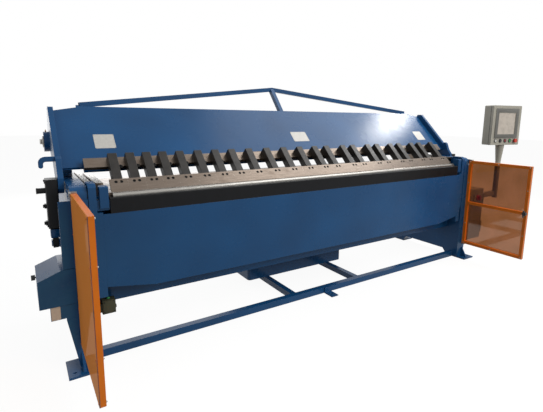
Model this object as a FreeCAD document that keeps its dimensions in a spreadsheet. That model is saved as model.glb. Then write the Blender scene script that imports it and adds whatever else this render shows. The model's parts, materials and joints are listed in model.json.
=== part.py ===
import FreeCAD, Part
import math
import os
import re

import Sketcher
from FreeCAD import Placement, Rotation, Vector

# A hydraulic folding machine with a segmented clamp beam, in millimetres.
# X runs along the bend line and is 0 at mid-length, Y is 0 at the bend line and grows to the back,
# Z is 0 on the floor.

doc = FreeCAD.newDocument("folding_machine")
sheet = doc.addObject("Spreadsheet::Sheet", "Sizes")
nodes = {}

SIZES = [
    # overall
    ("bed_length", 3100, "length of the bend line"),
    ("bed_height", 956, "bend line above the floor"),
    ("closed_gap", 0.5, "gap between blades and bed when the clamp beam is down"),
    # side frames
    ("frame_gap", 130, "from the end of the bend line to the inner web"),
    ("inner_web", 20, "inner web thickness"),
    ("drive_space", 50, "space between the webs for the drive"),
    ("outer_web", 12, "outer web thickness"),
    ("frame_strip", 5, "thickness of the strip that closes the frame box"),
    ("frame_room", 2, "gap between the pinion tips and the strip of the frame box"),
    ("clamp_pivot_y", 650, "clamp pivot behind the bend line"),
    ("clamp_pivot_rise", 249, "clamp pivot above the bed"),
    ("post_radius", 60, "half width of the rear post"),
    ("flange_width", 140, "front flange width"),
    ("flange_thick", 10, "front flange thickness"),
    ("leg_clear", 62, "bottom edge of the webs above the floor"),
    ("foot_thick", 12, "foot plate thickness"),
    ("foot_inset", 10, "foot plate set in from the inner web"),
    ("foot_reach", 75, "foot plate beyond the outer web"),
    ("anchor_reach", 42, "anchor hole beyond the outer web"),
    ("foot_toe", 40, "foot plate in front of its front anchor hole"),
    ("gusset_reach", 58, "foot gusset in front of the frame flange"),
    ("gusset_height", 95, "foot gusset height"),
    ("bracket_reach", 130, "label bracket beyond the outer web"),
    ("bracket_height", 75, "label bracket height"),
    ("anchor_front", 100, "front anchor holes in front of the bend line"),
    ("anchor_back", 680, "rear anchor holes behind the bend line"),
    ("anchor_radius", 9, "anchor hole radius"),
    # floor rail, tubes and tank
    ("rail_size", 45, "square floor rail"),
    ("rail_front", 5, "front of the floor rail before the bend line"),
    ("tube_wall", 4, "wall of the square tubes"),
    ("tube_reach", 950, "rear end of the floor tubes"),
    ("tube_left", 271, "left floor tube from the middle"),
    ("tube_right", 387, "right floor tube from the middle"),
    ("tank_left", 450, "left end of the oil tank from the middle"),
    ("tank_right", 550, "right end of the oil tank from the middle"),
    ("tank_front", 420, "front of the oil tank"),
    ("tank_back", 900, "back of the oil tank"),
    ("tank_height", 375, "height of the oil tank"),
    ("tank_round", 25, "corner radius of the oil tank"),
    # bed
    ("nose_depth", 68, "depth of the bed nose bar"),
    ("nose_height", 60, "height of the bed nose bar"),
    ("nose_front", 2, "front of the nose bar behind the bend line"),
    ("bed_thick", 30, "bed plate thickness"),
    ("bed_depth", 490, "bed plate depth"),
    ("beam_wall", 12, "lower beam wall"),
    ("beam_drop", 658, "bottom of the lower beam under the bed"),
    ("beam_depth", 330, "depth of the lower beam"),
    # clamp beam, measured along the 45 degree slope from the blade tip
    ("blade_length", 90, "blade length up the slope"),
    ("blade_thick", 10, "blade thickness"),
    ("blade_gap", 0.4, "gap between neighbouring blades"),
    ("finger_recess", 4.5, "finger face behind the blade face"),
    ("finger_depth", 51, "finger depth"),
    ("finger_width", 52, "finger width"),
    ("finger_length", 285, "finger length up the slope"),
    ("finger_chamfer", 2, "chamfer on the finger edges"),
    ("screw_seat", 9, "half width of the eight-sided seat of a blade screw"),
    ("screw_spacing", 30, "spacing of the two blade screws"),
    ("clamp_rail_thick", 22.5, "clamping rail thickness"),
    ("backing_thick", 22, "bar between the clamping rail and the front plate"),
    ("clamp_rail_start", 224.5, "lower edge of the rail up the slope"),
    ("clamp_rail_width", 70.5, "rail width up the slope"),
    ("clamp_rail_over", 104, "rail beyond each end of the bend line"),
    ("head_start", 265, "lower edge of the front plate up the slope"),
    ("head_end", 730, "upper edge of the front plate up the slope, at its ends"),
    ("head_crown", 772, "upper edge of the front plate up the slope, in the middle"),
    ("crown_taper", 180, "length of the sloping end of the upper edge"),
    ("head_plate", 12, "clamp beam plate thickness"),
    ("head_back", 575, "rear face of the clamp beam"),
    ("head_bottom", 105, "underside of the clamp beam above the bed"),
    ("end_plate", 30, "end plate thickness"),
    ("end_gap", 4, "gap between the side frame and an end plate"),
    ("end_proud", 45, "end plate edge in front of the front plate"),
    ("end_top", 468, "top of the end plates above the bed"),
    ("end_top_back", 590, "rear end of the flat top of the end plates"),
    ("end_low", 42, "underside of the end plates above the bed"),
    ("boss_radius", 64, "clamp pivot boss radius"),
    ("boss_length", 29, "clamp pivot boss length"),
    ("pivot_radius", 25, "clamp pivot pin radius"),
    ("pin_play", 0.05, "radial play of pins and shafts"),
    ("truss_size", 35, "square tube of the truss"),
    ("truss_end", 1604, "truss foot from the middle"),
    ("truss_peak_y", 820, "truss peak behind the bend line"),
    ("truss_peak_rise", 666, "truss peak above the bed"),
    ("hook_rise", 188, "top of the hose hook above the bed"),
    ("hook_y", 243, "hose hook behind the bend line"),
    ("hook_thick", 14, "thickness of the flat hose hook"),
    ("hook_reach", 84, "reach of the hose hook beyond the end plate"),
    ("hook_width", 24, "width of the turned down tip"),
    ("hook_bar", 28, "height of the level part of the hook"),
    ("hook_drop", 52, "start of the round tip under the top of the hook"),
    # clamp cylinders
    ("cylinder_y", 205, "clamp cylinder behind the bend line"),
    ("cylinder_width", 60, "clamp cylinder block along the bend line"),
    ("cylinder_depth", 92, "clamp cylinder block from front to back"),
    ("cylinder_gap", 1, "gap between an end plate and the block"),
    ("cylinder_base_drop", 296, "base pin under the bed"),
    ("cylinder_eye_rise", 36, "pin of the end plate above the bed"),
    ("cylinder_bottom_drop", 204, "underside of the block under the bed"),
    ("cylinder_top_rise", 69, "top of the block above the bed"),
    ("clamp_rod_radius", 14, "clamp rod radius"),
    ("clamp_rod_depth", 128, "rod inside the block when the clamp is down"),
    ("clamp_pin_radius", 12, "pins of the clamp cylinder"),
    ("eye_play", 2.5, "radial play of the block on its pin"),
    ("lug_half", 45, "half width of the end plate's lug round its pin"),
    ("lug_drop", 50, "end plate's lug under its pin"),
    ("eye_thick", 27, "rod eye thickness"),
    ("eye_half", 28, "half width of the rod eye"),
    ("knuckle_width", 42, "width of the knuckle on the rod"),
    ("knuckle_drop", 8, "knuckle under the block"),
    ("knuckle_height", 50, "height of the knuckle on the rod"),
    # folding beam
    ("arm_thick", 39, "folding arm thickness"),
    ("arm_clear", 3, "gap between folding arm and inner web"),
    ("fold_front", 60, "front face of the folding beam before the bend line"),
    ("fold_back", 2, "rear face of the folding bar before the bend line"),
    ("strip_height", 17.5, "height of the folding strip"),
    ("strip_depth", 28, "front of the folding strip before the bend line"),
    ("bar_drop", 105, "underside of the folding bar under the bed"),
    ("bar_inset", 20, "from the bar end to the bend line end"),
    ("arm_rise", 64, "top of the folding arms above the bed"),
    ("arm_chamfer", 20, "chamfers at the top of the folding arms"),
    ("end_block_gap", 7, "gap between the folding bar and the end block"),
    ("end_block_width", 45, "width of the end block and of the side bar behind it"),
    ("end_block_rise", 44, "top of the end block above the bed"),
    ("side_bar_front", 80, "front of the side bars behind the bend line"),
    ("side_bar_width", 35, "width of the outer side bar"),
    ("side_bar_rise", 52, "top of the outer side bar above the bed"),
    ("apron_drop", 558, "lower edge of the apron under the bed"),
    ("apron_rise", 42, "rise of the lower edge at the apron ends"),
    ("apron_thick", 10, "apron thickness"),
    ("apron_over", 59, "apron beyond each end of the bend line"),
    ("apron_taper", 270, "length of the raised end of the apron edge"),
    ("rib_thick", 10, "apron rib thickness"),
    ("shaft_radius", 25, "fold shaft radius"),
    ("journal_radius", 18, "outer journal radius of the fold shaft"),
    ("bush_wall", 7, "wall of the inner fold shaft bush"),
    # fold drive
    ("gear_module", 4.5, "module of pinion, idler and rack"),
    ("gear_teeth", 18, "teeth of pinion and idler"),
    ("gear_face", 38, "face width"),
    ("gear_play", 0.3, "extra centre distance"),
    ("tooth_play", 0.25, "tooth thickness left out as backlash"),
    ("idler_offset", 40, "idler behind the bend line"),
    ("idler_pin", 12, "idler pin radius"),
    ("fold_travel", 92, "rack travel over the full fold"),
    ("rack_body", 20, "rack thickness behind its teeth"),
    ("rack_margin", 22, "rack beyond its last working tooth"),
    ("guide_gap", 0.3, "gap between a rack and its guide"),
    ("guide_thick", 18, "rack guide thickness"),
    ("fold_rod_radius", 9, "rod radius of the fold cylinder"),
    ("fold_barrel", 23, "barrel radius of the fold cylinder"),
    # guards
    ("guard_thick", 24, "guard frame thickness"),
    ("guard_panel", 4, "guard panel thickness"),
    ("guard_rear", 71, "rear edge of the guard before the bend line"),
    ("guard_front", 637, "front edge of the guard before the bend line"),
    ("guard_bottom", 151, "lower edge of the guards"),
    ("guard_rise", 28, "upper edge of the guards above the bed"),
    ("guard_bar", 25, "width of the guard frame bars"),
    ("hinge_pin", 6, "guard hinge pin radius"),
    ("hinge_y", 85, "guard hinge axis before the bend line"),
    # cover and switch
    ("cover_reach", 178, "service cover beyond the outer web"),
    ("cover_roof", 70, "flat part of the cover roof"),
    ("cover_top_drop", 376, "cover roof under the bed"),
    ("cover_slope", 42, "fall of the cover roof"),
    ("cover_bottom_drop", 567, "underside of the cover under the bed"),
    ("cover_front", 66, "front of the cover before the bend line"),
    ("cover_back", 215, "back of the cover"),
    ("knob_rise", 87, "cover knob above the underside of the cover"),
    ("knob_inset", 20, "cover knob in front of the back of the cover"),
    ("knob_radius", 15, "cover knob radius"),
    ("knob_length", 20, "cover knob length"),
    ("knob_shank", 4.7, "shank radius of the cover knob"),
    ("switch_drop", 614, "top of the bend limit switch under the bed"),
    ("switch_height", 80, "height of the bend limit switch"),
    ("switch_width", 71, "width of the bend limit switch"),
    ("switch_reach", 86, "bend limit switch beyond the end of the bend line"),
    ("sheet_wall", 3, "sheet thickness of covers and cabinets"),
    # cabinet and operator panel
    ("cabinet_gap", 100, "cabinet beside the outer web"),
    ("cabinet_width", 310, "cabinet width"),
    ("cabinet_depth", 246, "cabinet depth"),
    ("cabinet_bottom", 130, "underside of the cabinet"),
    ("cabinet_drop", 296, "top of the cabinet under the bed"),
    ("door_hinge", 5, "radius of the door's hinge barrels"),
    ("hinge_length", 60, "length of a hinge barrel"),
    ("switch_knob", 27, "main switch radius"),
    ("switch_shaft", 5, "shaft radius of the main switch"),
    ("door_thick", 4, "cabinet door thickness"),
    ("post_reach", 243, "operator post beside the cabinet"),
    ("post_pipe", 26, "operator post radius"),
    ("post_collar", 42, "radius of the post's neck under the operator panel"),
    ("neck_length", 166, "length of the post's neck"),
    ("post_y", 12, "operator post behind the bend line"),
    ("panel_turn", 12, "operator panel turned to the operator, in degrees"),
    ("panel_width", 400, "operator panel width"),
    ("panel_height", 410, "operator panel height"),
    ("panel_depth", 110, "operator panel depth"),
    ("panel_bottom", 1117, "underside of the operator panel"),
    ("panel_wall", 4, "operator panel wall"),
    ("panel_chamfer", 8, "chamfer on the operator panel's edges"),
    ("screen_width", 240, "screen width"),
    ("screen_height", 221, "screen height"),
    ("screen_rise", 113, "lower edge of the screen above the panel's underside"),
    ("bezel_side", 42, "bezel beside the screen"),
    ("bezel_low", 41, "bezel under the screen"),
    ("bezel_high", 45, "bezel above the screen"),
    ("button_radius", 14, "push button radius"),
    ("button_pitch", 68, "push button spacing"),
    ("button_rise", 45, "push buttons above the panel's underside"),
    ("button_play", 0.5, "radial gap round a push button"),
]

for row, (alias, number, meaning) in enumerate(SIZES, start=1):
    sheet.set(f"A{row}", meaning)
    sheet.set(f"B{row}", str(number))
    sheet.setAlias(f"B{row}", alias)
doc.recompute()


def sized(expression):
    """The expression with every size name, a word with underscores, read from the sheet."""
    return re.sub(r"\b[a-z]+(?:_[a-z]+)+\b", lambda found: "Sizes." + found.group(0), str(expression))


def value(expression):
    """The present number of an expression in the sheet's sizes."""
    return float(sheet.evalExpression(str(expression)))


def slope(along, depth):
    """A point on the clamp beam's 45 degree slope: distance up from the blade tip, depth behind it."""
    across = f"(({along}) + ({depth})) / sqrt(2)"
    up = f"bed_height + closed_gap + (({along}) - ({depth})) / sqrt(2)"
    return across, up


HALF = "(bed_length / 2)"
INNER = f"({HALF} + frame_gap)"
SPACE = f"({INNER} + inner_web)"
OUTER_IN = f"({SPACE} + drive_space)"
OUTER = f"({OUTER_IN} + outer_web)"
HEAD = f"({OUTER} + end_gap)"
HEAD_OUT = f"({HEAD} + end_plate)"
PIVOT_Z = "(bed_height + clamp_pivot_rise)"
FRAME_REACH = "(gear_module * (gear_teeth / 2 + 1) + frame_room + frame_strip)"
FRAME_TOP = f"(bed_height + {FRAME_REACH})"

VIEWS = {"side": ("YZ_Plane", 1), "front": ("XZ_Plane", -1), "top": ("XY_Plane", 1)}


def origin_plane(body, role):
    return next(plane for plane in body.Origin.OriginFeatures if plane.Role == role)


def add_loop(sketch, points):
    """Add a closed outline. A point is (u, v), or (u, v, radius) where an arc to the next begins.

    A positive radius turns left on the way round, a negative one turns right.
    """
    first = sketch.GeometryCount
    count = len(points)
    places = [(value(point[0]), value(point[1])) for point in points]
    ends = []
    for index, point in enumerate(points):
        (u0, v0), (u1, v1) = places[index], places[(index + 1) % count]
        if len(point) == 2:
            sketch.addGeometry(Part.LineSegment(Vector(u0, v0, 0), Vector(u1, v1, 0)), False)
            ends.append((1, 2))
            continue
        radius = value(point[2])
        chord = math.hypot(u1 - u0, v1 - v0)
        reach = math.sqrt(max(radius * radius - chord * chord / 4, 0)) / chord
        side = 1 if radius > 0 else -1
        centre = ((u0 + u1) / 2 - side * (v1 - v0) * reach, (v0 + v1) / 2 + side * (u1 - u0) * reach)
        begin = math.atan2(v0 - centre[1], u0 - centre[0])
        finish = math.atan2(v1 - centre[1], u1 - centre[0])
        if side < 0:
            begin, finish = finish, begin
        circle = Part.Circle(Vector(*centre, 0), Vector(0, 0, 1), abs(radius))
        if finish < begin:
            finish += 2 * math.pi
        sketch.addGeometry(Part.ArcOfCircle(circle, begin, finish), False)
        ends.append((1, 2) if side > 0 else (2, 1))
    for index, point in enumerate(points):
        item = first + index
        after = (index + 1) % count
        start = ends[index][0]
        sketch.addConstraint(
            Sketcher.Constraint("Coincident", item, ends[index][1], first + after, ends[after][0])
        )
        bind_point(sketch, item, start, point)
        if len(point) == 3:
            radius = abs(value(point[2]))
            number = sketch.addConstraint(Sketcher.Constraint("Radius", item, radius))
            sketch.setExpression(f"Constraints[{number}]", sized(f"abs({point[2]})"))


def bind_point(sketch, item, end, point):
    """Place one point of a sketch by expressions, measured from the sketch's origin."""
    for kind, expression in zip(("DistanceX", "DistanceY"), point):
        number = sketch.addConstraint(
            Sketcher.Constraint(kind, -1, 1, item, end, value(expression))
        )
        sketch.setExpression(f"Constraints[{number}]", sized(expression))


def add_circle(sketch, u, v, radius):
    circle = Part.Circle(Vector(value(u), value(v), 0), Vector(0, 0, 1), value(radius))
    item = sketch.addGeometry(circle, False)
    bind_point(sketch, item, 3, (u, v))
    number = sketch.addConstraint(Sketcher.Constraint("Radius", item, value(radius)))
    sketch.setExpression(f"Constraints[{number}]", sized(radius))


def octagon(u, v, half_width):
    """The corners of an eight-sided hole about (u, v)."""
    corner = math.tan(math.pi / 8)
    steps = [(1, corner), (corner, 1), (-corner, 1), (-1, corner)]
    steps += [(-a, -b) for a, b in steps]
    return [(f"{u} + ({half_width}) * ({a:.6f})", f"{v} + ({half_width}) * ({b:.6f})") for a, b in steps]


def new_sketch(body, role, offset=("0", "0", "0")):
    sketch = body.newObject("Sketcher::SketchObject", body.Name + "_outline")
    sketch.AttachmentSupport = [(origin_plane(body, role), "")]
    sketch.MapMode = "FlatFace"
    for axis, expression in zip("xyz", offset):
        sketch.setExpression(f"AttachmentOffset.Base.{axis}", sized(expression))
    return sketch


def extrude(name, view, start, depth, points, circles=(), windows=()):
    """A plate or bar: an outline drawn in one view and padded along the third axis."""
    role, sign = VIEWS[view]
    body = doc.addObject("PartDesign::Body", name)
    sketch = new_sketch(body, role, ("0", "0", f"{sign} * ({start})"))
    add_loop(sketch, points)
    for circle in circles:
        add_circle(sketch, *circle)
    for window in windows:
        add_loop(sketch, window)
    pad = body.newObject("PartDesign::Pad", name + "_pad")
    pad.Profile = sketch
    pad.Reversed = sign < 0
    pad.setExpression("Length", sized(depth))
    doc.recompute()
    return body


def turned(name, axis, centre, profile):
    """A turned piece: (distance along the axis, radius) points revolved about the axis."""
    body = doc.addObject("PartDesign::Body", name)
    first, second = centre
    if axis == "x":
        sketch = new_sketch(body, "XY_Plane", ("0", first, second))
        line = "H_Axis"
        points = [(along, radius) for along, radius in profile]
    elif axis == "y":
        sketch = new_sketch(body, "XY_Plane", (first, "0", second))
        line = "V_Axis"
        points = [(radius, along) for along, radius in profile]
    else:
        sketch = new_sketch(body, "XZ_Plane", (first, "0", f"-({second})"))
        line = "V_Axis"
        points = [(radius, along) for along, radius in profile]
    add_loop(sketch, points)
    revolution = body.newObject("PartDesign::Revolution", name + "_turned")
    revolution.Profile = sketch
    revolution.ReferenceAxis = (sketch, [line])
    revolution.Angle = 360
    doc.recompute()
    return body


def soften(body, kind, amount, wanted):
    """Fillet or chamfer the edges of a body whose middle point and direction are wanted."""
    doc.recompute()
    tip = body.Tip
    names = []
    for number, edge in enumerate(tip.Shape.Edges, start=1):
        middle = edge.valueAt((edge.FirstParameter + edge.LastParameter) / 2)
        direction = edge.tangentAt(edge.FirstParameter)
        if wanted(middle, direction):
            names.append(f"Edge{number}")
    feature = body.newObject(f"PartDesign::{kind}", f"{body.Name}_{kind.lower()}")
    feature.Base = (tip, names)
    feature.setExpression("Radius" if kind == "Fillet" else "Size", sized(amount))
    doc.recompute()
    return body


def place(item, x, y, z):
    for axis, expression in zip("xyz", (x, y, z)):
        item.setExpression(f"Placement.Base.{axis}", sized(expression))
    return item


def box(name, x, y, z, length, width, height):
    item = doc.addObject("Part::Box", name)
    for side, expression in zip(("Length", "Width", "Height"), (length, width, height)):
        item.setExpression(side, sized(expression))
    return place(item, x, y, z)


TURNS = {
    "x": Rotation(Vector(0, 1, 0), 90),
    "y": Rotation(Vector(1, 0, 0), -90),
    "z": Rotation(),
}


def cylinder(name, axis, x, y, z, radius, length):
    item = doc.addObject("Part::Cylinder", name)
    item.Placement = Placement(Vector(0, 0, 0), TURNS[axis])
    item.setExpression("Radius", sized(radius))
    item.setExpression("Height", sized(length))
    return place(item, x, y, z)


def fused(name, members):
    item = doc.addObject("Part::MultiFuse", name)
    item.Shapes = members
    item.Refine = True
    return item


def cut(name, base, tools):
    tool = tools[0] if len(tools) == 1 else fused(name + "_tools", tools)
    item = doc.addObject("Part::Cut", name)
    item.Base = base
    item.Tool = tool
    return item


def gathered(name, members):
    item = doc.addObject("Part::Compound", name)
    item.Links = members
    return item


def mirrored(name, source):
    item = doc.addObject("Part::Mirroring", name)
    item.Source = source
    item.Normal = Vector(1, 0, 0)
    return item


def copy_at(source, name, x="0", y="0", z="0"):
    link = doc.addObject("App::Link", name)
    link.LinkedObject = source
    return place(link, x, y, z)


def keep(name, item):
    """Name an object as one of the machine's sub-parts."""
    item.Label = name
    nodes[name] = item
    return item


def keep_pair(name, source):
    """Keep a right-hand piece and its mirror image as two sub-parts."""
    left = mirrored("mirrored_" + name, source)
    return keep("right_" + name, source), keep("left_" + name, left)


def keep_both(name, source):
    """Keep a right-hand piece and its mirror image together as one sub-part."""
    return keep(name, gathered(name, [source, mirrored("mirrored_" + name, source)]))


def bar_between(name, start, finish, size, wall):
    """A square tube between two points, solid where the wall is half the size."""
    begin = Vector(*(value(part) for part in start))
    end = Vector(*(value(part) for part in finish))
    span = end - begin
    across = Vector(0, 0, 1).cross(span)
    if across.Length < 1e-6:
        across = Vector(0, 1, 0)
    turn = Rotation(span, across, Vector(0, 0, 1), "XYZ")
    half = value(size) / 2
    inner = half - value(wall)
    shape = Part.makeBox(span.Length, 2 * half, 2 * half, Vector(0, -half, -half))
    if inner > 0:
        shape = shape.cut(Part.makeBox(span.Length, 2 * inner, 2 * inner, Vector(0, -inner, -inner)))
    item = doc.addObject("Part::Feature", name)
    item.Shape = shape
    item.Placement = Placement(begin, turn)
    return item


# Gear geometry, used by the pinions, the idlers and the racks.
PITCH_RADIUS = "(gear_module * gear_teeth / 2)"
CENTRES = f"(2 * {PITCH_RADIUS} + gear_play)"
IDLER_Z = f"(bed_height - sqrt({CENTRES} * {CENTRES} - idler_offset * idler_offset))"
RACK_LINE = f"(idler_offset + {PITCH_RADIUS} + gear_play)"
RACK_ROOT = f"({RACK_LINE} + 1.25 * gear_module)"
RACK_BACK = f"({RACK_ROOT} + rack_body)"
RACK_LOW = f"({IDLER_Z} - fold_travel - rack_margin)"
RACK_TOP = f"({IDLER_Z} + rack_margin)"
RACK_X = f"({SPACE} + drive_space / 2)"
GEAR_IN = f"({RACK_X} - gear_face / 2)"
PRESSURE_ANGLE = math.radians(20)


def tooth_half_angle(radius):
    """Half the angle that a gear tooth takes up at a radius, from the involute."""
    pitch = value(PITCH_RADIUS)
    base = pitch * math.cos(PRESSURE_ANGLE)
    at_pitch = math.pi / (2 * value("gear_teeth")) - value("tooth_play") / (2 * pitch)
    turn = math.acos(min(base / max(radius, base), 1))
    involute = math.tan(turn) - turn
    return at_pitch + math.tan(PRESSURE_ANGLE) - PRESSURE_ANGLE - involute


def gear_face_at(y, z, first_tooth):
    """The flat toothed face of a gear about (y, z), with a tooth at the angle first_tooth."""
    pitch = value(PITCH_RADIUS)
    module = value("gear_module")
    root = pitch - 1.25 * module
    tip = pitch + module
    base = pitch * math.cos(PRESSURE_ANGLE)
    flank = [base + (tip - base) * step / 2 for step in range(3)]
    points = []
    for tooth in range(int(value("gear_teeth"))):
        middle = first_tooth + tooth * 2 * math.pi / value("gear_teeth")
        rising = [(root, -tooth_half_angle(base))] + [(r, -tooth_half_angle(r)) for r in flank]
        falling = [(r, -angle) for r, angle in reversed(rising)]
        for radius, angle in rising + falling:
            turn = middle + angle
            points.append(Vector(0, y + radius * math.cos(turn), z + radius * math.sin(turn)))
    return Part.Face(Part.makePolygon(points + points[:1]))


def rack_outline():
    """Points (y, z) of a rack in mesh with the idler at rest, its teeth running past both ends."""
    pitch = value(PITCH_RADIUS)
    module = value("gear_module")
    tooth_pitch = math.pi * module
    line = value(RACK_LINE)
    low, top = value(RACK_LOW), value(RACK_TOP)
    half_gap = tooth_pitch / 4 + value("tooth_play") / 2
    at_tip = half_gap + module * math.tan(PRESSURE_ANGLE)
    at_root = half_gap - 1.25 * module * math.tan(PRESSURE_ANGLE)
    gap = value(IDLER_Z) + pitch * idler_tooth_near_rack()
    gap -= math.ceil((gap - low) / tooth_pitch) * tooth_pitch
    points = [(value(RACK_BACK), gap - tooth_pitch)]
    while gap < top + tooth_pitch:
        points.append((line - module, gap - at_tip))
        points.append((line + 1.25 * module, gap - at_root))
        points.append((line + 1.25 * module, gap + at_root))
        points.append((line - module, gap + at_tip))
        gap += tooth_pitch
    return points + [(value(RACK_BACK), gap)]


def idler_direction():
    """The angle of the line from the pinion to the idler."""
    return math.atan2(value(IDLER_Z) - value("bed_height"), value("idler_offset"))


def idler_tooth_near_rack():
    """The angle of the idler tooth nearest the rack, seen from the idler's centre."""
    step = 2 * math.pi / value("gear_teeth")
    tooth = idler_direction() + math.pi + step / 2
    return (tooth + step / 2) % step - step / 2


def part_feature(name, shape):
    item = doc.addObject("Part::Feature", name)
    item.Shape = shape
    return item


# Side frames: a closed box of two webs and a wrapped strip, with a rear post.
FLANGE_FRONT = f"-({FRAME_REACH} + flange_thick)"


def frame_outline(inset, bottom):
    """The frame's outline, moved inwards by an inset, with its legs down to bottom."""
    front = f"-({FRAME_REACH} - {inset})"
    back = f"clamp_pivot_y + post_radius - {inset}"
    post = f"clamp_pivot_y - post_radius + {inset}"
    reach = f"{FRAME_REACH} - {inset}"
    return [
        (back, bottom),
        (back, PIVOT_Z, f"post_radius - {inset}"),
        ("clamp_pivot_y", f"{PIVOT_Z} + post_radius - {inset}", f"post_radius - {inset}"),
        (post, PIVOT_Z),
        (post, f"{FRAME_TOP} - {inset}"),
        ("0", f"{FRAME_TOP} - {inset}", reach),
        (front, "bed_height"),
        (front, bottom),
    ]


def side_frame():
    legs = [("60", "foot_thick"), ("100", "leg_clear")]
    legs += [("clamp_pivot_y - 90", "leg_clear"), ("clamp_pivot_y - 50", "foot_thick")]
    shell = extrude(
        "frame_shell", "side", INNER, "inner_web + drive_space + outer_web",
        frame_outline("0", "foot_thick") + legs,
    )
    hollow = extrude(
        "frame_hollow", "side", SPACE, "drive_space",
        frame_outline("frame_strip", "leg_clear + frame_strip"),
    )
    through = "outer_web + 2"
    start = f"{OUTER_IN} - 1"
    web_holes = [
        cylinder("fold_bush_bore", "x", f"{INNER} - 1", "0", "bed_height", "shaft_radius + bush_wall",
                 "inner_web + 2"),
        cylinder("fold_journal_bore", "x", start, "0", "bed_height", "journal_radius + pin_play", through),
        cylinder("clamp_pivot_bore", "x", start, "clamp_pivot_y", PIVOT_Z, "pivot_radius", through),
    ]
    outside = f"{OUTER} + flange_width - inner_web - drive_space - outer_web"
    flange = extrude(
        "frame_flange", "front", f"-({FRAME_REACH} + flange_thick)", "flange_thick",
        [(INNER, "foot_thick"), (f"{outside} - 50", "foot_thick"), (outside, "bed_height - 656"),
         (outside, "bed_height - 16"), (INNER, "bed_height - 16")],
    )
    gusset = extrude(
        "foot_gusset", "side", OUTER_IN, "outer_web",
        [(FLANGE_FRONT, "foot_thick"), (FLANGE_FRONT, "foot_thick + gusset_height"),
         (f"{FLANGE_FRONT} - gusset_reach", "foot_thick")],
    )
    return cut("frame_box", fused("frame_with_flange", [shell, flange, gusset]), [hollow] + web_holes)


right_frame = side_frame()
left_frame = mirrored("left_frame_plain", right_frame)
COVER_LOW = "(bed_height - cover_bottom_drop)"
COVER_TOP = "(bed_height - cover_top_drop)"
cover_notch = box(
    "cover_notch", f"-{OUTER} - 200", "-cover_front - 2", f"{COVER_LOW} - 2",
    "200", "cover_front + 1", f"{COVER_TOP} - {COVER_LOW} + 4",
)
cover_window = box(
    "cover_window", f"-{OUTER} - 1", "-20", f"{COVER_LOW} + 20", "outer_web + 2", "200",
    f"{COVER_TOP} - {COVER_LOW} - 60",
)
plate_bracket = box(
    "plate_bracket", f"-{OUTER} - bracket_reach", FLANGE_FRONT, f"{COVER_LOW} - bracket_height",
    f"{OUTER} + bracket_reach - ({OUTER} + flange_width - inner_web - drive_space - outer_web) + 2",
    "flange_thick", "bracket_height",
)
keep("right_side_frame", right_frame)
keep("left_side_frame", fused("left_frame", [
    cut("left_frame_open", left_frame, [cover_notch, cover_window]), plate_bracket,
]))


# Feet, floor rail, floor tubes and oil tank.
def foot_plate(name, front, back, hole_y):
    inside = f"{INNER} + foot_inset"
    outside = f"{OUTER} + foot_reach"
    return extrude(
        name, "top", "0", "foot_thick",
        [(inside, front), (outside, front), (outside, back), (inside, back)],
        circles=[(f"{OUTER} + anchor_reach", hole_y, "anchor_radius")],
    )


front_foot = foot_plate("front_foot", "-anchor_front - foot_toe", "36", "-anchor_front")
rear_foot = foot_plate("rear_foot", "anchor_back - 80", "anchor_back + 60", "anchor_back")
keep("foot_plates", gathered("foot_plates", [
    front_foot, rear_foot, mirrored("left_front_foot", front_foot), mirrored("left_rear_foot", rear_foot),
]))


def square_ring(u, v, size, wall):
    """Outline and window of a square tube's section with its low corner at (u, v)."""
    outer = [(u, v), (f"{u} + {size}", v), (f"{u} + {size}", f"{v} + {size}"), (u, f"{v} + {size}")]
    low_u, low_v = f"{u} + {wall}", f"{v} + {wall}"
    high_u, high_v = f"{u} + {size} - {wall}", f"{v} + {size} - {wall}"
    return outer, [(low_u, low_v), (low_u, high_v), (high_u, high_v), (high_u, low_v)]


rail_outer, rail_inner = square_ring("-rail_front", "0", "rail_size", "tube_wall")
keep("front_floor_rail", extrude(
    "front_floor_rail", "side", f"-{INNER}", f"2 * {INNER}", rail_outer, windows=[rail_inner],
))
RAIL_BACK = "(rail_size - rail_front)"


def floor_tube(name, middle):
    outer, inner = square_ring(f"{middle} - rail_size / 2", "0", "rail_size", "tube_wall")
    return extrude(name, "front", RAIL_BACK, f"tube_reach - {RAIL_BACK}", outer, windows=[inner])


anchor_tab = extrude(
    "anchor_tab", "top", "0", "8",
    [("0", "-rail_front - 95"), ("65", "-rail_front - 95"), ("65", "-rail_front"), ("0", "-rail_front")],
    circles=[("32.5", "-rail_front - 55", "anchor_radius")],
)
anchor_web = box("anchor_web", "0", "-rail_front - 8", "0", "65", "8", "rail_size")
keep("floor_tubes", gathered("floor_tubes", [
    floor_tube("left_floor_tube", "-tube_left"), floor_tube("right_floor_tube", "tube_right"),
    fused("rail_anchor", [anchor_tab, anchor_web]),
]))

TANK_TOP = "(rail_size + tank_height)"
tank = extrude(
    "tank_body", "top", "rail_size", "tank_height",
    [("-tank_left", "tank_front"), ("tank_right", "tank_front"),
     ("tank_right", "tank_back"), ("-tank_left", "tank_back")],
)
soften(tank, "Fillet", "tank_round", lambda middle, way: abs(way.z) > 0.9)
tank_lid = box(
    "tank_lid", "-tank_left - 12", "tank_front - 5", TANK_TOP,
    "tank_left + tank_right + 24", "tank_back - tank_front + 10", "8",
)
filler = cylinder("filler_cap", "z", "tank_right - 90", "tank_back - 90", f"{TANK_TOP} + 8", "36", "58")
keep("oil_tank", fused("oil_tank", [tank, tank_lid, filler]))

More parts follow.
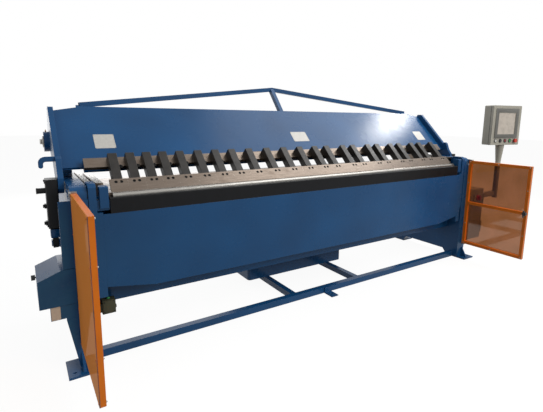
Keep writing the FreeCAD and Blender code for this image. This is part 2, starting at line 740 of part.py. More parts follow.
MOTOR_Z = f"({TANK_TOP} + 8 + 95)"
MOTOR_Y = "(tank_front + 200)"
motor = cylinder("motor_body", "x", "-tank_left + 40", MOTOR_Y, MOTOR_Z, "80", "260")
pump = cylinder("pump_body", "x", "-tank_left + 300", MOTOR_Y, MOTOR_Z, "52", "180")
motor_foot = extrude(
    "motor_foot", "side", "-tank_left + 110", "150",
    [(f"{MOTOR_Y} - 75", f"{TANK_TOP} + 8"), (f"{MOTOR_Y} + 75", f"{TANK_TOP} + 8"),
     (f"{MOTOR_Y} + 45", f"{MOTOR_Z} - 40"), (f"{MOTOR_Y} - 45", f"{MOTOR_Z} - 40")],
)
terminal_box = box(
    "terminal_box", "-tank_left + 140", f"{MOTOR_Y} - 45", f"{MOTOR_Z} + 60", "110", "90", "60",
)
keep("pump_motor", fused("pump_motor", [motor, pump, motor_foot, terminal_box]))

MANIFOLD_X = "(tank_right - 330)"
manifold_block = box(
    "manifold_block", MANIFOLD_X, f"{MOTOR_Y} - 50", f"{TANK_TOP} + 8", "210", "100", "80",
)
valves = [
    box(f"valve_{number}", f"{MANIFOLD_X} + {11 + 70 * number}", f"{MOTOR_Y} - 90",
        f"{TANK_TOP} + 88", "48", "180", "48")
    for number in range(3)
]
keep("valve_manifold", fused("valve_manifold", [manifold_block] + valves))

# Lower beam, bed plate and nose bar.
BEAM_FRONT = "(nose_front + nose_depth)"
BED_UNDER = "(bed_height - bed_thick)"
BEAM_LOW = "(bed_height - beam_drop)"
BEAM_BACK = f"({BEAM_FRONT} + beam_depth)"
keep("lower_beam", extrude(
    "lower_beam", "side", f"-{INNER}", f"2 * {INNER}",
    [(BEAM_FRONT, BEAM_LOW), (f"{BEAM_BACK} - 110", BEAM_LOW), (BEAM_BACK, f"{BEAM_LOW} + 110"),
     (BEAM_BACK, BED_UNDER), (BEAM_FRONT, BED_UNDER)],
    windows=[[
        (f"{BEAM_FRONT} + beam_wall", f"{BEAM_LOW} + beam_wall"),
        (f"{BEAM_FRONT} + beam_wall", f"{BED_UNDER} - beam_wall"),
        (f"{BEAM_BACK} - beam_wall", f"{BED_UNDER} - beam_wall"),
        (f"{BEAM_BACK} - beam_wall", f"{BEAM_LOW} + 115"),
        (f"{BEAM_BACK} - 115", f"{BEAM_LOW} + beam_wall"),
    ]],
))
BAR_END = f"({HALF} + bar_inset)"
END_BLOCK = f"({BAR_END} + end_block_gap)"
BED_BACK = f"({BEAM_FRONT} + bed_depth)"


def side_bar(name, start, width, rise):
    """A bar on the lower beam beside the bed plate, and its mirror image."""
    bar = box(name, start, "side_bar_front", BED_UNDER, width, f"{BED_BACK} - side_bar_front",
              f"bed_thick + {rise}")
    return [bar, mirrored("left_" + name, bar)]


side_bars = side_bar("inner_side_bar", END_BLOCK, "end_block_width", "end_block_rise")
side_bars += side_bar("outer_side_bar", f"{INNER} - side_bar_width - 5", "side_bar_width", "side_bar_rise")
bed_table = extrude(
    "bed_table", "side", f"-{BAR_END}", f"2 * {BAR_END}",
    [(BEAM_FRONT, BED_UNDER), (BED_BACK, BED_UNDER), (BED_BACK, "bed_height - 8"),
     (f"{BED_BACK} - 8", "bed_height"), (BEAM_FRONT, "bed_height")],
)
keep("bed_plate", gathered("bed_plate", [bed_table] + side_bars))
keep("bed_nose_bar", extrude(
    "bed_nose_bar", "side", f"-{BAR_END}", f"2 * {BAR_END}",
    [("nose_front", "bed_height - nose_height"), (BEAM_FRONT, "bed_height - nose_height"),
     (BEAM_FRONT, "bed_height"), ("nose_front", "bed_height")],
))

# Folding beam: arms, bar, strip, apron and ribs.
ARM_OUT = f"({INNER} - arm_clear)"
ARM_IN = f"({ARM_OUT} - arm_thick)"
BAR_LOW = "(bed_height - bar_drop)"
BAR_TOP = "(bed_height - 0.5 - strip_height)"
APRON_END = f"({HALF} + apron_over)"
arm = extrude(
    "arm_plate", "side", ARM_IN, "arm_thick",
    [("-fold_front", "bed_height - 436"), ("-12", "bed_height - 436"), ("-12", "bed_height - 116"),
     ("fold_front", "bed_height - 56"), ("fold_front", "bed_height + arm_rise - arm_chamfer"),
     ("fold_front - arm_chamfer", "bed_height + arm_rise"),
     ("-fold_front + arm_chamfer", "bed_height + arm_rise"),
     ("-fold_front", "bed_height + arm_rise - arm_chamfer")],
)
arm_foot = box(
    "arm_foot", APRON_END, "-fold_front", "bed_height - apron_drop - 14",
    "52", "fold_front - 8", "apron_drop + 14 - bar_drop + 10",
)
arm_block = box(
    "arm_block", BAR_END, "-fold_front + 12", "bed_height - 86", f"{ARM_IN} - {BAR_END}",
    "fold_front - fold_back - 12", "58",
)
end_block = extrude(
    "end_block", "side", END_BLOCK, "end_block_width",
    [("-fold_front", "bed_height - 73"), ("-fold_back", "bed_height - 73"),
     ("-fold_back", "bed_height + end_block_rise"),
     ("-fold_front + 6", "bed_height + end_block_rise"),
     ("-fold_front", "bed_height + end_block_rise - 6")],
)
arm_bore = cylinder(
    "arm_bore", "x", f"{ARM_IN} - 1", "0", "bed_height", "shaft_radius + pin_play", "arm_thick + 2",
)
keep_both("folding_arms", cut(
    "arm_bored", fused("arm_fused", [arm, arm_foot, arm_block, end_block]), [arm_bore],
))

keep("folding_bar", extrude(
    "folding_bar", "side", f"-{BAR_END}", f"2 * {BAR_END}",
    [("-fold_front", BAR_LOW), ("-fold_back", BAR_LOW), ("-fold_back", BAR_TOP),
     ("-fold_front + 4", BAR_TOP), ("-fold_front", f"{BAR_TOP} - 4")],
))
keep("folding_bar_strip", extrude(
    "folding_bar_strip", "side", f"-{HALF}", "bed_length",
    [("-strip_depth - 8", BAR_TOP), ("-fold_back", BAR_TOP), ("-fold_back", "bed_height - 0.5"),
     ("-strip_depth", "bed_height - 0.5"), ("-strip_depth - 8", "bed_height - 8.5")],
))
keep("apron_plate", extrude(
    "apron_plate", "front", "-fold_front", "apron_thick",
    [(f"-{APRON_END}", "bed_height - apron_drop + apron_rise"),
     (f"-{APRON_END} + apron_taper", "bed_height - apron_drop"),
     (f"{APRON_END} - apron_taper", "bed_height - apron_drop"),
     (APRON_END, "bed_height - apron_drop + apron_rise"),
     (APRON_END, BAR_LOW), (f"-{APRON_END}", BAR_LOW)],
))
APRON_BACK = "(-fold_front + apron_thick)"
rib = extrude(
    "apron_rib", "side", "-rib_thick / 2", "rib_thick",
    [(APRON_BACK, "bed_height - apron_drop + 50"), (f"{APRON_BACK} + 12", "bed_height - apron_drop + 50"),
     ("-8", "bed_height - 330"), ("-8", BAR_LOW), (APRON_BACK, BAR_LOW)],
)
RIB_COUNT = 7
rib_copies = [
    copy_at(rib, f"apron_rib_{number}", f"{HALF} * {2 * (number + 0.5) / RIB_COUNT - 1}")
    for number in range(RIB_COUNT)
]
keep("apron_ribs", gathered("apron_ribs", rib_copies))

# Fold shafts with pinions, bushes, idlers, racks and fold cylinders.
shaft = cylinder("fold_shaft", "x", ARM_IN, "0", "bed_height", "shaft_radius", f"{GEAR_IN} - {ARM_IN}")
journal = cylinder("fold_journal", "x", GEAR_IN, "0", "bed_height", "journal_radius", f"{OUTER} - {GEAR_IN}")
gear_blank = gear_face_at(0, value("bed_height"), idler_direction())
pinion = gear_blank.extrude(Vector(value("gear_face"), 0, 0))
pinion.translate(Vector(value(GEAR_IN), 0, 0))
keep_both("fold_shafts", fused("fold_shaft_geared", [shaft, journal, part_feature("pinion_teeth", pinion)]))

half_step = math.pi / value("gear_teeth")
idler = gear_face_at(value("idler_offset"), value(IDLER_Z), idler_direction() + math.pi + half_step)
idler = idler.extrude(Vector(value("gear_face"), 0, 0))
idler.translate(Vector(value(GEAR_IN), 0, 0))
idler_hole = cylinder(
    "idler_hole", "x", f"{GEAR_IN} - 5", "idler_offset", IDLER_Z, "idler_pin + pin_play", "gear_face + 10",
)
keep_pair("idler_gear", cut("idler_gear", part_feature("idler_teeth", idler), [idler_hole]))

rack_points = [Vector(value(GEAR_IN), y, z) for y, z in rack_outline()]
rack_bar = Part.Face(Part.makePolygon(rack_points + rack_points[:1]))
rack_bar = rack_bar.extrude(Vector(value("gear_face"), 0, 0))
rack_length = value(f"{RACK_TOP} - {RACK_LOW}")
rack_room = Part.makeBox(400, 400, rack_length, Vector(value(GEAR_IN) - 10, -100, value(RACK_LOW)))
ROD_Y = f"({RACK_BACK} - rack_body / 2)"
BARREL_TOP = f"({RACK_LOW} - 40)"
BARREL_LOW = f"({BARREL_TOP} - fold_travel - 60)"
fold_rod = cylinder(
    "fold_rod", "z", RACK_X, ROD_Y, f"{BARREL_LOW} + 16", "fold_rod_radius",
    f"{RACK_LOW} - {BARREL_LOW} - 16",
)
rack_teeth = part_feature("rack_teeth", rack_bar.common(rack_room))
keep_pair("drive_rack", fused("drive_rack", [rack_teeth, fold_rod]))

barrel = cylinder(
    "fold_barrel_tube", "z", RACK_X, ROD_Y, BARREL_LOW, "fold_barrel", f"{BARREL_TOP} - {BARREL_LOW}",
)
barrel_seat = box(
    "barrel_seat", SPACE, f"{ROD_Y} - 30", f"{BARREL_LOW} - 12", "drive_space", "60", "12",
)
barrel_bore = cylinder(
    "barrel_bore", "z", RACK_X, ROD_Y, f"{BARREL_LOW} + 12", "fold_rod_radius + pin_play", "fold_travel + 60",
)
fold_cylinder_solid = fused("fold_cylinder_solid", [barrel, barrel_seat])
keep_both("fold_cylinders", cut("fold_cylinder", fold_cylinder_solid, [barrel_bore]))
rack_guide = box(
    "rack_guide", SPACE, f"{RACK_BACK} + guide_gap", f"{IDLER_Z} - 70", "drive_space", "guide_thick", "140",
)
keep_both("rack_guides", rack_guide)

inner_bush = turned("inner_bush", "x", ("0", "bed_height"), [
    (INNER, "shaft_radius + pin_play"), (INNER, "shaft_radius + bush_wall"),
    (SPACE, "shaft_radius + bush_wall"), (SPACE, "shaft_radius + pin_play"),
])
idler_axle = cylinder("idler_axle", "x", SPACE, "idler_offset", IDLER_Z, "idler_pin", "drive_space")
keep_both("drive_bearings", gathered("right_drive_bearings", [inner_bush, idler_axle]))

# Clamp beam: front plate, back channel, end plates, rail, fingers, blades and truss.
FINGER_BACK = "(finger_recess + finger_depth)"
RAIL_BACK_FACE = f"({FINGER_BACK} + clamp_rail_thick)"
PLATE_FRONT = f"({RAIL_BACK_FACE} + backing_thick)"
PLATE_BACK = f"({PLATE_FRONT} + head_plate)"
RAIL_END = f"({HALF} + clamp_rail_over)"


def on_slope(body, name, depth):
    """A sketch in the clamp beam's 45 degree plane: X along the bend line, Y up the slope."""
    sketch = body.newObject("Sketcher::SketchObject", name)
    sketch.AttachmentSupport = [(origin_plane(body, "XY_Plane"), "")]
    sketch.MapMode = "FlatFace"
    sketch.AttachmentOffset = Placement(Vector(0, 0, 0), Rotation(Vector(1, 0, 0), 45))
    sketch.setExpression("AttachmentOffset.Base.y", sized(slope("0", depth)[0]))
    sketch.setExpression("AttachmentOffset.Base.z", sized(slope("0", depth)[1]))
    return sketch


front_plate = doc.addObject("PartDesign::Body", "front_plate")
front_outline = on_slope(front_plate, "front_plate_outline", PLATE_BACK)
add_loop(front_outline, [
    (f"-{HEAD}", "head_start"), (HEAD, "head_start"), (HEAD, "head_end"),
    (f"{HEAD} - crown_taper", "head_crown"), (f"-{HEAD} + crown_taper", "head_crown"),
    (f"-{HEAD}", "head_end"),
])
front_pad = front_plate.newObject("PartDesign::Pad", "front_plate_pad")
front_pad.Profile = front_outline
front_pad.setExpression("Length", sized("head_plate"))
doc.recompute()
backing = extrude(
    "rail_backing", "side", f"-{RAIL_END}", f"2 * {RAIL_END}",
    [slope("clamp_rail_start", RAIL_BACK_FACE), slope("clamp_rail_start", PLATE_FRONT),
     slope("clamp_rail_start + clamp_rail_width", PLATE_FRONT),
     slope("clamp_rail_start + clamp_rail_width", RAIL_BACK_FACE)],
)
keep("clamp_front_plate", fused("clamp_front_plate", [front_plate, backing]))
HEAD_LOW = "(bed_height + head_bottom)"
PLATE_RISE = f"(bed_height + closed_gap - {PLATE_BACK} * sqrt(2))"
keep("clamp_back_channel", extrude(
    "clamp_back_channel", "side", f"-{HEAD}", f"2 * {HEAD}",
    [(f"{HEAD_LOW} - {PLATE_RISE}", HEAD_LOW), ("head_back", HEAD_LOW),
     ("head_back", f"head_back + {PLATE_RISE}"),
     ("head_back - head_plate", f"head_back - head_plate + {PLATE_RISE}"),
     ("head_back - head_plate", f"{HEAD_LOW} + head_plate"),
     (f"{HEAD_LOW} + head_plate - {PLATE_RISE}", f"{HEAD_LOW} + head_plate")],
))
keep("clamping_rail", extrude(
    "clamping_rail", "side", f"-{RAIL_END}", f"2 * {RAIL_END}",
    [slope("clamp_rail_start", FINGER_BACK), slope("clamp_rail_start", RAIL_BACK_FACE),
     slope("clamp_rail_start + clamp_rail_width", RAIL_BACK_FACE),
     slope("clamp_rail_start + clamp_rail_width", FINGER_BACK)],
))

EYE_Z = "(bed_height + cylinder_eye_rise)"
EDGE = f"({PLATE_FRONT} - end_proud)"
END_TOP = "(bed_height + end_top)"
END_LOW = "(bed_height + end_low)"
end_plate = extrude(
    "end_plate_flat", "side", HEAD, "end_plate",
    [("cylinder_y - 20", f"{EYE_Z} - lug_drop"), ("cylinder_y + 20", f"{EYE_Z} - lug_drop"),
     ("cylinder_y + lug_half", f"{EYE_Z} - 22"), ("cylinder_y + lug_half", END_LOW),
     ("cylinder_y + 133", END_LOW), ("cylinder_y + 228", f"{END_LOW} + 90"),
     ("clamp_pivot_y - 38", f"{PIVOT_Z} - 49", "62.01"),
     ("clamp_pivot_y + 50", f"{PIVOT_Z} + 36.66"),
     ("end_top_back", END_TOP), (f"end_top - closed_gap + {EDGE} * sqrt(2)", END_TOP),
     slope("head_start + 38", EDGE), slope("head_start + 32", f"{EDGE} - 22"),
     slope("head_start + 14", f"{EDGE} - 26"), ("cylinder_y - 12", f"{END_LOW} + 74"),
     ("cylinder_y - lug_half", f"{END_LOW} + 30"), ("cylinder_y - lug_half", f"{EYE_Z} - 22")],
    circles=[("clamp_pivot_y", PIVOT_Z, "pivot_radius + pin_play")],
)
boss = turned("pivot_boss", "x", ("clamp_pivot_y", PIVOT_Z), [
    (HEAD_OUT, "pivot_radius + pin_play"), (HEAD_OUT, "boss_radius"),
    (f"{HEAD_OUT} + boss_length", "boss_radius"),
    (f"{HEAD_OUT} + boss_length", "pivot_radius + pin_play"),
])
BLOCK_X = f"({HEAD_OUT} + cylinder_gap)"
CYLINDER_X = f"({BLOCK_X} + cylinder_width / 2)"
eye_pin = cylinder(
    "eye_pin", "x", HEAD_OUT, "cylinder_y", EYE_Z, "clamp_pin_radius", "cylinder_width - 1",
)
keep_both("clamp_end_plates", fused("end_plate_with_boss", [end_plate, boss, eye_pin]))
pivot_pin = cylinder(
    "pivot_pin", "x", SPACE, "clamp_pivot_y", PIVOT_Z, "pivot_radius",
    f"{HEAD_OUT} + boss_length - {SPACE}",
)
keep_both("clamp_pivot_pins", pivot_pin)

finger = extrude(
    "finger_bar", "side", "-finger_width / 2", "finger_width",
    [slope("14", "blade_thick + 0.05"), slope("75", FINGER_BACK),
     slope("clamp_rail_start - 30", FINGER_BACK), slope("clamp_rail_start - 20", f"{FINGER_BACK} + 14"),
     slope("clamp_rail_start - 0.1", f"{FINGER_BACK} + 14"), slope("clamp_rail_start - 0.1", FINGER_BACK),
     slope("finger_length", FINGER_BACK), slope("finger_length", "finger_recess"),
     slope("blade_length + 0.5", "finger_recess"), slope("blade_length + 0.5", "blade_thick + 0.05")],
)
front_height = value("bed_height + closed_gap - finger_recess * sqrt(2)")
soften(
    finger, "Chamfer", "finger_chamfer",
    lambda middle, way: abs(middle.z - middle.y - front_height) < 0.1 and abs(way.x) < 0.5,
)


def blade(name, width, screw_pairs):
    """One blade segment from X = 0, with two eight-sided screw seats for each finger behind it."""
    segment = extrude(
        name, "side", "blade_gap / 2", f"{width} - blade_gap",
        [slope("0", "0"), slope("13", "10 - 0.02"), slope("blade_length", "blade_thick"),
         slope("blade_length", "0")],
    )
    sketch = on_slope(segment, name + "_screws", "0")
    for middle in screw_pairs:
        for side in ("-", "+"):
            add_loop(sketch, octagon(f"{middle} {side} screw_spacing / 2", "blade_length - 21", "screw_seat"))
    pocket = segment.newObject("PartDesign::Pocket", name + "_holes")
    pocket.Profile = sketch
    pocket.Type = 1
    pocket.Midplane = True
    doc.recompute()
    return segment


# The first 13 segments are 100, 125 and 150 wide, the last 5 share what is left.
LAST_WIDTH = "((bed_length - 1650) / 5)"
segment_kinds = [
    ("narrow_blade", "100", 4, ["50"]),
    ("medium_blade", "125", 4, ["62.5"]),
    ("wide_blade", "150", 5, ["75"]),
    ("long_blade", LAST_WIDTH, 5, [f"{LAST_WIDTH} * 0.16", f"{LAST_WIDTH} * 0.77"]),
]
segments = []
finger_copies = []
left_end = f"-{HALF}"
for kind, width, count, middles in segment_kinds:
    pattern = blade(kind, width, middles)
    for number in range(count):
        segments.append(copy_at(pattern, f"{kind}_{number}", f"{left_end} + {number} * {width}"))
        for middle in middles:
            spot = f"{left_end} + {number} * {width} + {middle}"
            finger_copies.append(copy_at(finger, f"finger_{len(finger_copies)}", spot))
    left_end = f"{left_end} + {count} * {width}"
keep("blade_segments", gathered("blade_segments", segments))
keep("fingers", gathered("fingers", finger_copies))

CORNER_Z = f"(head_back + {PLATE_RISE})"
TRUSS_PEAK = ("0", "truss_peak_y", "bed_height + truss_peak_rise")
FOOT_Y, FOOT_Z = slope("head_crown + 34", f"{PLATE_BACK} + 10")


def truss_leg(name, side, wall):
    """The sloping tube of one side, cut square at mid-length, with its lug on the back plate."""
    foot = (f"{side} * truss_end", FOOT_Y, FOOT_Z)
    past_peak = tuple(f"({peak}) + 0.02 * (({peak}) - ({end}))" for peak, end in zip(TRUSS_PEAK, foot))
    bar = bar_between(f"{name}_bar", foot, past_peak, "truss_size", wall)
    beyond = box(
        f"{name}_beyond", "0" if side < 0 else "-200", "truss_peak_y - 200", TRUSS_PEAK[2] + " - 200",
        "200", "400", "400",
    )
    return cut(f"{name}_tube", bar, [beyond])


def truss_lug(name, side):
    return extrude(
        name, "side", f"{side} * truss_end - 22", "44",
        [slope("head_crown - 70", PLATE_BACK), slope("head_crown - 70", f"{PLATE_BACK} + 30"),
         (f"{FOOT_Y} + 17", FOOT_Z), (f"{FOOT_Y} - 11", FOOT_Z), slope("head_crown - 12", PLATE_BACK)],
    )


for name, side in (("truss_left_leg", -1), ("truss_right_leg", 1)):
    keep(name, fused(f"{name}_welded", [truss_leg(name, side, "tube_wall"), truss_lug(f"{name}_lug", side)]))
strut = bar_between(
    "strut_bar", TRUSS_PEAK, ("0", "head_back - 12", f"{CORNER_Z} - 62"), "truss_size", "tube_wall",
)
behind_plate = box("behind_plate", "-50", "head_back - 100", f"{CORNER_Z} - 200", "100", "100", "400")
keep("truss_strut", cut("truss_strut", strut, [
    behind_plate, truss_leg("left_envelope", -1, "truss_size / 2"),
    truss_leg("right_envelope", 1, "truss_size / 2"),
]))

# Hose hook: a flat plate on the left end plate that turns down at its tip.
HOOK_TOP = "(bed_height + hook_rise)"
HOOK_TIP = f"({HEAD_OUT} + hook_reach - hook_width)"
keep("hose_hook", extrude(
    "hose_hook", "front", "hook_y - hook_thick / 2", "hook_thick",
    [(f"-{HEAD_OUT}", HOOK_TOP), (f"-{HEAD_OUT} - hook_reach + 34", HOOK_TOP, "34"),
     (f"-{HEAD_OUT} - hook_reach", f"{HOOK_TOP} - 34"),
     (f"-{HEAD_OUT} - hook_reach", f"{HOOK_TOP} - hook_drop", "hook_width / 2"),
     (f"-{HOOK_TIP} - hook_width / 2", f"{HOOK_TOP} - hook_drop - hook_width / 2", "hook_width / 2"),
     (f"-{HOOK_TIP}", f"{HOOK_TOP} - hook_drop"),
     (f"-{HOOK_TIP}", f"{HOOK_TOP} - hook_bar - 14", "-14"),
     (f"-{HOOK_TIP} + 14", f"{HOOK_TOP} - hook_bar"), (f"-{HEAD_OUT}", f"{HOOK_TOP} - hook_bar")],
))

# Clamp cylinders: the block hangs on the end plate's pin, and its rod stands on the frame's base pin.
BASE_Z = "(bed_height - cylinder_base_drop)"
BLOCK_LOW = "(bed_height - cylinder_bottom_drop)"
BLOCK_TOP = "(bed_height + cylinder_top_rise)"
block = extrude(
    "cylinder_block", "top", BLOCK_LOW, f"{BLOCK_TOP} - {BLOCK_LOW}",
    [(BLOCK_X, "cylinder_y - cylinder_depth / 2"),
     (f"{BLOCK_X} + cylinder_width", "cylinder_y - cylinder_depth / 2"),
     (f"{BLOCK_X} + cylinder_width", "cylinder_y + cylinder_depth / 2"),
     (BLOCK_X, "cylinder_y + cylinder_depth / 2")],
)
soften(block, "Chamfer", "4", lambda middle, way: abs(way.z) > 0.9)
top_port = cylinder(
    "top_port", "x", f"{BLOCK_X} + cylinder_width", "cylinder_y", f"{BLOCK_TOP} - 64", "15.5", "45",
)
side_ports = [
    box(name, f"{BLOCK_X} + cylinder_width", "cylinder_y - 12", f"bed_height - {drop} - 12", "11", "24", "24")
    for name, drop in (("rod_port", 82), ("base_port", 179))
]
cylinder_bores = [
    cylinder("rod_bore", "z", CYLINDER_X, "cylinder_y", f"{BLOCK_LOW} - 1", "clamp_rod_radius + pin_play",
             "clamp_rod_depth + 5"),
    cylinder("block_eye", "x", f"{BLOCK_X} - 1", "cylinder_y", EYE_Z, "clamp_pin_radius + eye_play",
             "cylinder_width + 2"),
]
keep_pair("clamp_cylinder", cut(
    "clamp_cylinder", fused("cylinder_solid", [block, top_port] + side_ports), cylinder_bores,
))
rod = cylinder(
    "clamp_rod_bar", "z", CYLINDER_X, "cylinder_y", f"{BASE_Z} + eye_half", "clamp_rod_radius",
    f"{BLOCK_LOW} + clamp_rod_depth - {BASE_Z} - eye_half",
)
eye = extrude(
    "rod_eye", "side", f"{CYLINDER_X} - eye_thick / 2", "eye_thick",
    [("cylinder_y - 12", f"{BASE_Z} - eye_half"), ("cylinder_y + 12", f"{BASE_Z} - eye_half"),
     ("cylinder_y + eye_half", f"{BASE_Z} - 12"), ("cylinder_y + eye_half", f"{BASE_Z} + 36"),
     ("cylinder_y - eye_half", f"{BASE_Z} + 36"), ("cylinder_y - eye_half", f"{BASE_Z} - 12")],
)
knuckle = box(
    "rod_knuckle", f"{CYLINDER_X} - knuckle_width / 2", "cylinder_y - eye_half",
    f"{BLOCK_LOW} - knuckle_drop - knuckle_height", "knuckle_width", "2 * eye_half", "knuckle_height",
)
rod_bore = cylinder(
    "base_bore", "x", f"{CYLINDER_X} - 20", "cylinder_y", BASE_Z, "clamp_pin_radius + pin_play", "40",
)
keep_pair("clamp_rod", cut("clamp_rod", fused("rod_with_eye", [rod, eye, knuckle]), [rod_bore]))

EYE_IN = f"({CYLINDER_X} - eye_thick / 2)"
bracket_plate = box("bracket_plate", OUTER, "cylinder_y - 48", f"{BASE_Z} - 48", "12", "96", "96")
bracket_boss = box(
    "bracket_boss", f"{OUTER} + 12", "cylinder_y - 24", f"{BASE_Z} - 24",
    f"{EYE_IN} - 1 - {OUTER} - 12", "48", "48",
)
base_pin = cylinder(
    "base_pin", "x", f"{EYE_IN} - 5", "cylinder_y", BASE_Z, "clamp_pin_radius", "eye_thick + 12",
)
pin_plate = box("pin_plate", f"{EYE_IN} + eye_thick + 1", "cylinder_y - 17", f"{BASE_Z} - 17", "6", "34", "34")
keep_both("cylinder_brackets", fused("cylinder_bracket", [bracket_plate, bracket_boss, base_pin, pin_plate]))

# Side guards: a frame, a clear panel on its outer face, hinges and one latch.
GUARD_TOP = "(bed_height + guard_rise)"
GUARD_IN = f"({OUTER} - guard_thick - guard_panel)"
HINGE_X = f"({GUARD_IN} + (guard_thick + guard_panel) / 2)"


def rectangle(low_u, low_v, high_u, high_v, clockwise=False):
    corners = [(low_u, low_v), (high_u, low_v), (high_u, high_v), (low_u, high_v)]
    return corners[::-1] if clockwise else corners


GUARD_MIDDLE = f"((guard_bottom + {GUARD_TOP}) / 2)"
guard = extrude(
    "guard_bars", "side", GUARD_IN, "guard_thick",
    rectangle("-guard_front", "guard_bottom", "-guard_rear", GUARD_TOP),
    windows=[
        rectangle("-guard_front + guard_bar", "guard_bottom + guard_bar",
                  "-guard_rear - guard_bar", f"{GUARD_MIDDLE} - guard_bar / 2", True),
        rectangle("-guard_front + guard_bar", f"{GUARD_MIDDLE} + guard_bar / 2",
                  "-guard_rear - guard_bar", f"{GUARD_TOP} - guard_bar", True),
    ],
)
guard_pin_holes = [
    cylinder(f"guard_pin_hole_{number}", "z", HINGE_X, "-hinge_y", low, "hinge_pin + pin_play", "45")
    for number, low in enumerate(("guard_bottom - 5", f"{GUARD_TOP} - 40"))
]
keep_pair("guard_frame", cut("guard_frame", guard, guard_pin_holes))
panel = extrude(
    "guard_sheet", "side", f"{OUTER} - guard_panel", "guard_panel",
    rectangle("-guard_front", "guard_bottom", "-guard_rear - 4", GUARD_TOP),
)
keep_pair("guard_panel", panel)
latch = cylinder(
    "latch_knob", "x", f"{GUARD_IN} - 26", "-guard_front + guard_bar / 2", GUARD_MIDDLE, "17", "25.7",
)
latch_grip = box(
    "latch_grip", f"{GUARD_IN} - 34", "-guard_front + guard_bar / 2 - 5", f"{GUARD_MIDDLE} - 30",
    "12", "10", "60",
)
keep("guard_latch", fused("guard_latch_knob", [latch, latch_grip]))


def hinge_bracket(name, low, pin_low, points):
    tab = extrude(f"{name}_tab", "top", low, "8", points)
    pin = cylinder(f"{name}_pin", "z", HINGE_X, "-hinge_y", pin_low, "hinge_pin", "40")
    return fused(name, [tab, pin])


upper_hinge = hinge_bracket(
    "upper_hinge", f"{GUARD_TOP} + 0.5", f"{GUARD_TOP} - 34",
    [(GUARD_IN, "-guard_rear - 28"), (OUTER, "-guard_rear - 28"), (f"{OUTER} + 8", "-guard_rear - 8"),
     (f"{OUTER} + 8", "0"), (OUTER, "0"), (OUTER, "-guard_rear"), (GUARD_IN, "-guard_rear")],
)
lower_hinge = hinge_bracket(
    "lower_hinge", "guard_bottom - 8.5", "guard_bottom - 6",
    [(GUARD_IN, "-guard_rear - 28"), (OUTER, "-guard_rear - 28"),
     (OUTER, FLANGE_FRONT), (GUARD_IN, FLANGE_FRONT)],
)
keep_both("guard_hinges", gathered("right_guard_hinges", [upper_hinge, lower_hinge]))


# Service cover with its knob, and the bend limit switch, on the left.
def cover_outline(inset):
    return [
        (f"-{OUTER}", f"{COVER_LOW} + {inset}"),
        (f"-{OUTER}", f"{COVER_TOP} - {inset}"),
        (f"-{OUTER} - cover_roof", f"{COVER_TOP} - {inset}"),
        (f"-{OUTER} - cover_reach + {inset}", f"{COVER_TOP} - cover_slope - {inset}"),
        (f"-{OUTER} - cover_reach + {inset}", f"{COVER_LOW} + {inset}"),
    ]


cover_body = extrude(
    "cover_body", "front", "-cover_front", "cover_front + cover_back", cover_outline("0"),
)
cover_hollow = extrude(
    "cover_hollow", "front", "-cover_front + sheet_wall",
    "cover_front + cover_back - 2 * sheet_wall", cover_outline("sheet_wall"),
)
KNOB_X = f"(-{OUTER} - cover_reach)"
KNOB_Z = f"({COVER_LOW} + knob_rise)"
knob_hole = cylinder(
    "knob_hole", "x", f"{KNOB_X} - 5", "cover_back - knob_inset", KNOB_Z, "knob_shank + 0.3", "20",
)
keep("service_cover", cut("service_cover", cover_body, [cover_hollow, knob_hole]))
knob_grip = cylinder(
    "knob_grip", "x", f"{KNOB_X} - 3 - knob_length", "cover_back - knob_inset", KNOB_Z,
    "knob_radius", "knob_length",
)
knob_shank = cylinder(
    "knob_shaft", "x", f"{KNOB_X} - 4", "cover_back - knob_inset", KNOB_Z, "knob_shank", "18",
)
keep("cover_knob", fused("cover_knob", [knob_grip, knob_shank]))

SWITCH_X = f"(-{HALF} - switch_reach)"
SWITCH_TOP = "(bed_height - switch_drop)"
switch_box = box(
    "switch_box", SWITCH_X, "-15", f"{SWITCH_TOP} - switch_height", "switch_width", "50", "switch_height",
)
switch_cap = cylinder("switch_cap", "z", f"{SWITCH_X} + switch_width / 2", "10", SWITCH_TOP, "9", "9")
switch_arm = box(
    "switch_arm", f"-{INNER}", "-5", f"{SWITCH_TOP} - 70", f"{SWITCH_X} + {INNER}", "30", "50",
)
keep("bend_limit_switch", fused("bend_limit_switch", [switch_box, switch_cap, switch_arm]))

# Electrical cabinet with door and main switch, and the post of the operator panel.
CABINET_X = f"({OUTER} + cabinet_gap)"
CABINET_END = f"({CABINET_X} + cabinet_width)"
CABINET_TOP = "(bed_height - cabinet_drop)"
CABINET_HEIGHT = f"({CABINET_TOP} - cabinet_bottom)"
cabinet_box = box(
    "cabinet_box", CABINET_X, "door_thick", "cabinet_bottom",
    "cabinet_width", "cabinet_depth", CABINET_HEIGHT,
)
cabinet_hollow = box(
    "cabinet_hollow", f"{CABINET_X} + sheet_wall", "door_thick - 1", "cabinet_bottom + sheet_wall",
    "cabinet_width - 2 * sheet_wall", "cabinet_depth + 1 - sheet_wall",
    f"{CABINET_HEIGHT} - 2 * sheet_wall",
)
mounting_plate = box(
    "mounting_plate", f"{CABINET_X} + sheet_wall", "door_thick + cabinet_depth - 24",
    "cabinet_bottom + 30", "cabinet_width - 2 * sheet_wall", "3", f"{CABINET_HEIGHT} - 60",
)
cabinet_rails = [
    box(f"cabinet_rail_{number}", OUTER, "90", low, "cabinet_gap", "40", "30")
    for number, low in enumerate(("cabinet_bottom + 60", f"{CABINET_TOP} - 90"))
]
DOOR_X = f"({CABINET_END} + 2)"


def hinge_barrels(name, heights):
    return [
        cylinder(f"{name}_{number}", "z", DOOR_X, "-2", low, "door_hinge", "hinge_length")
        for number, low in enumerate(heights)
    ]


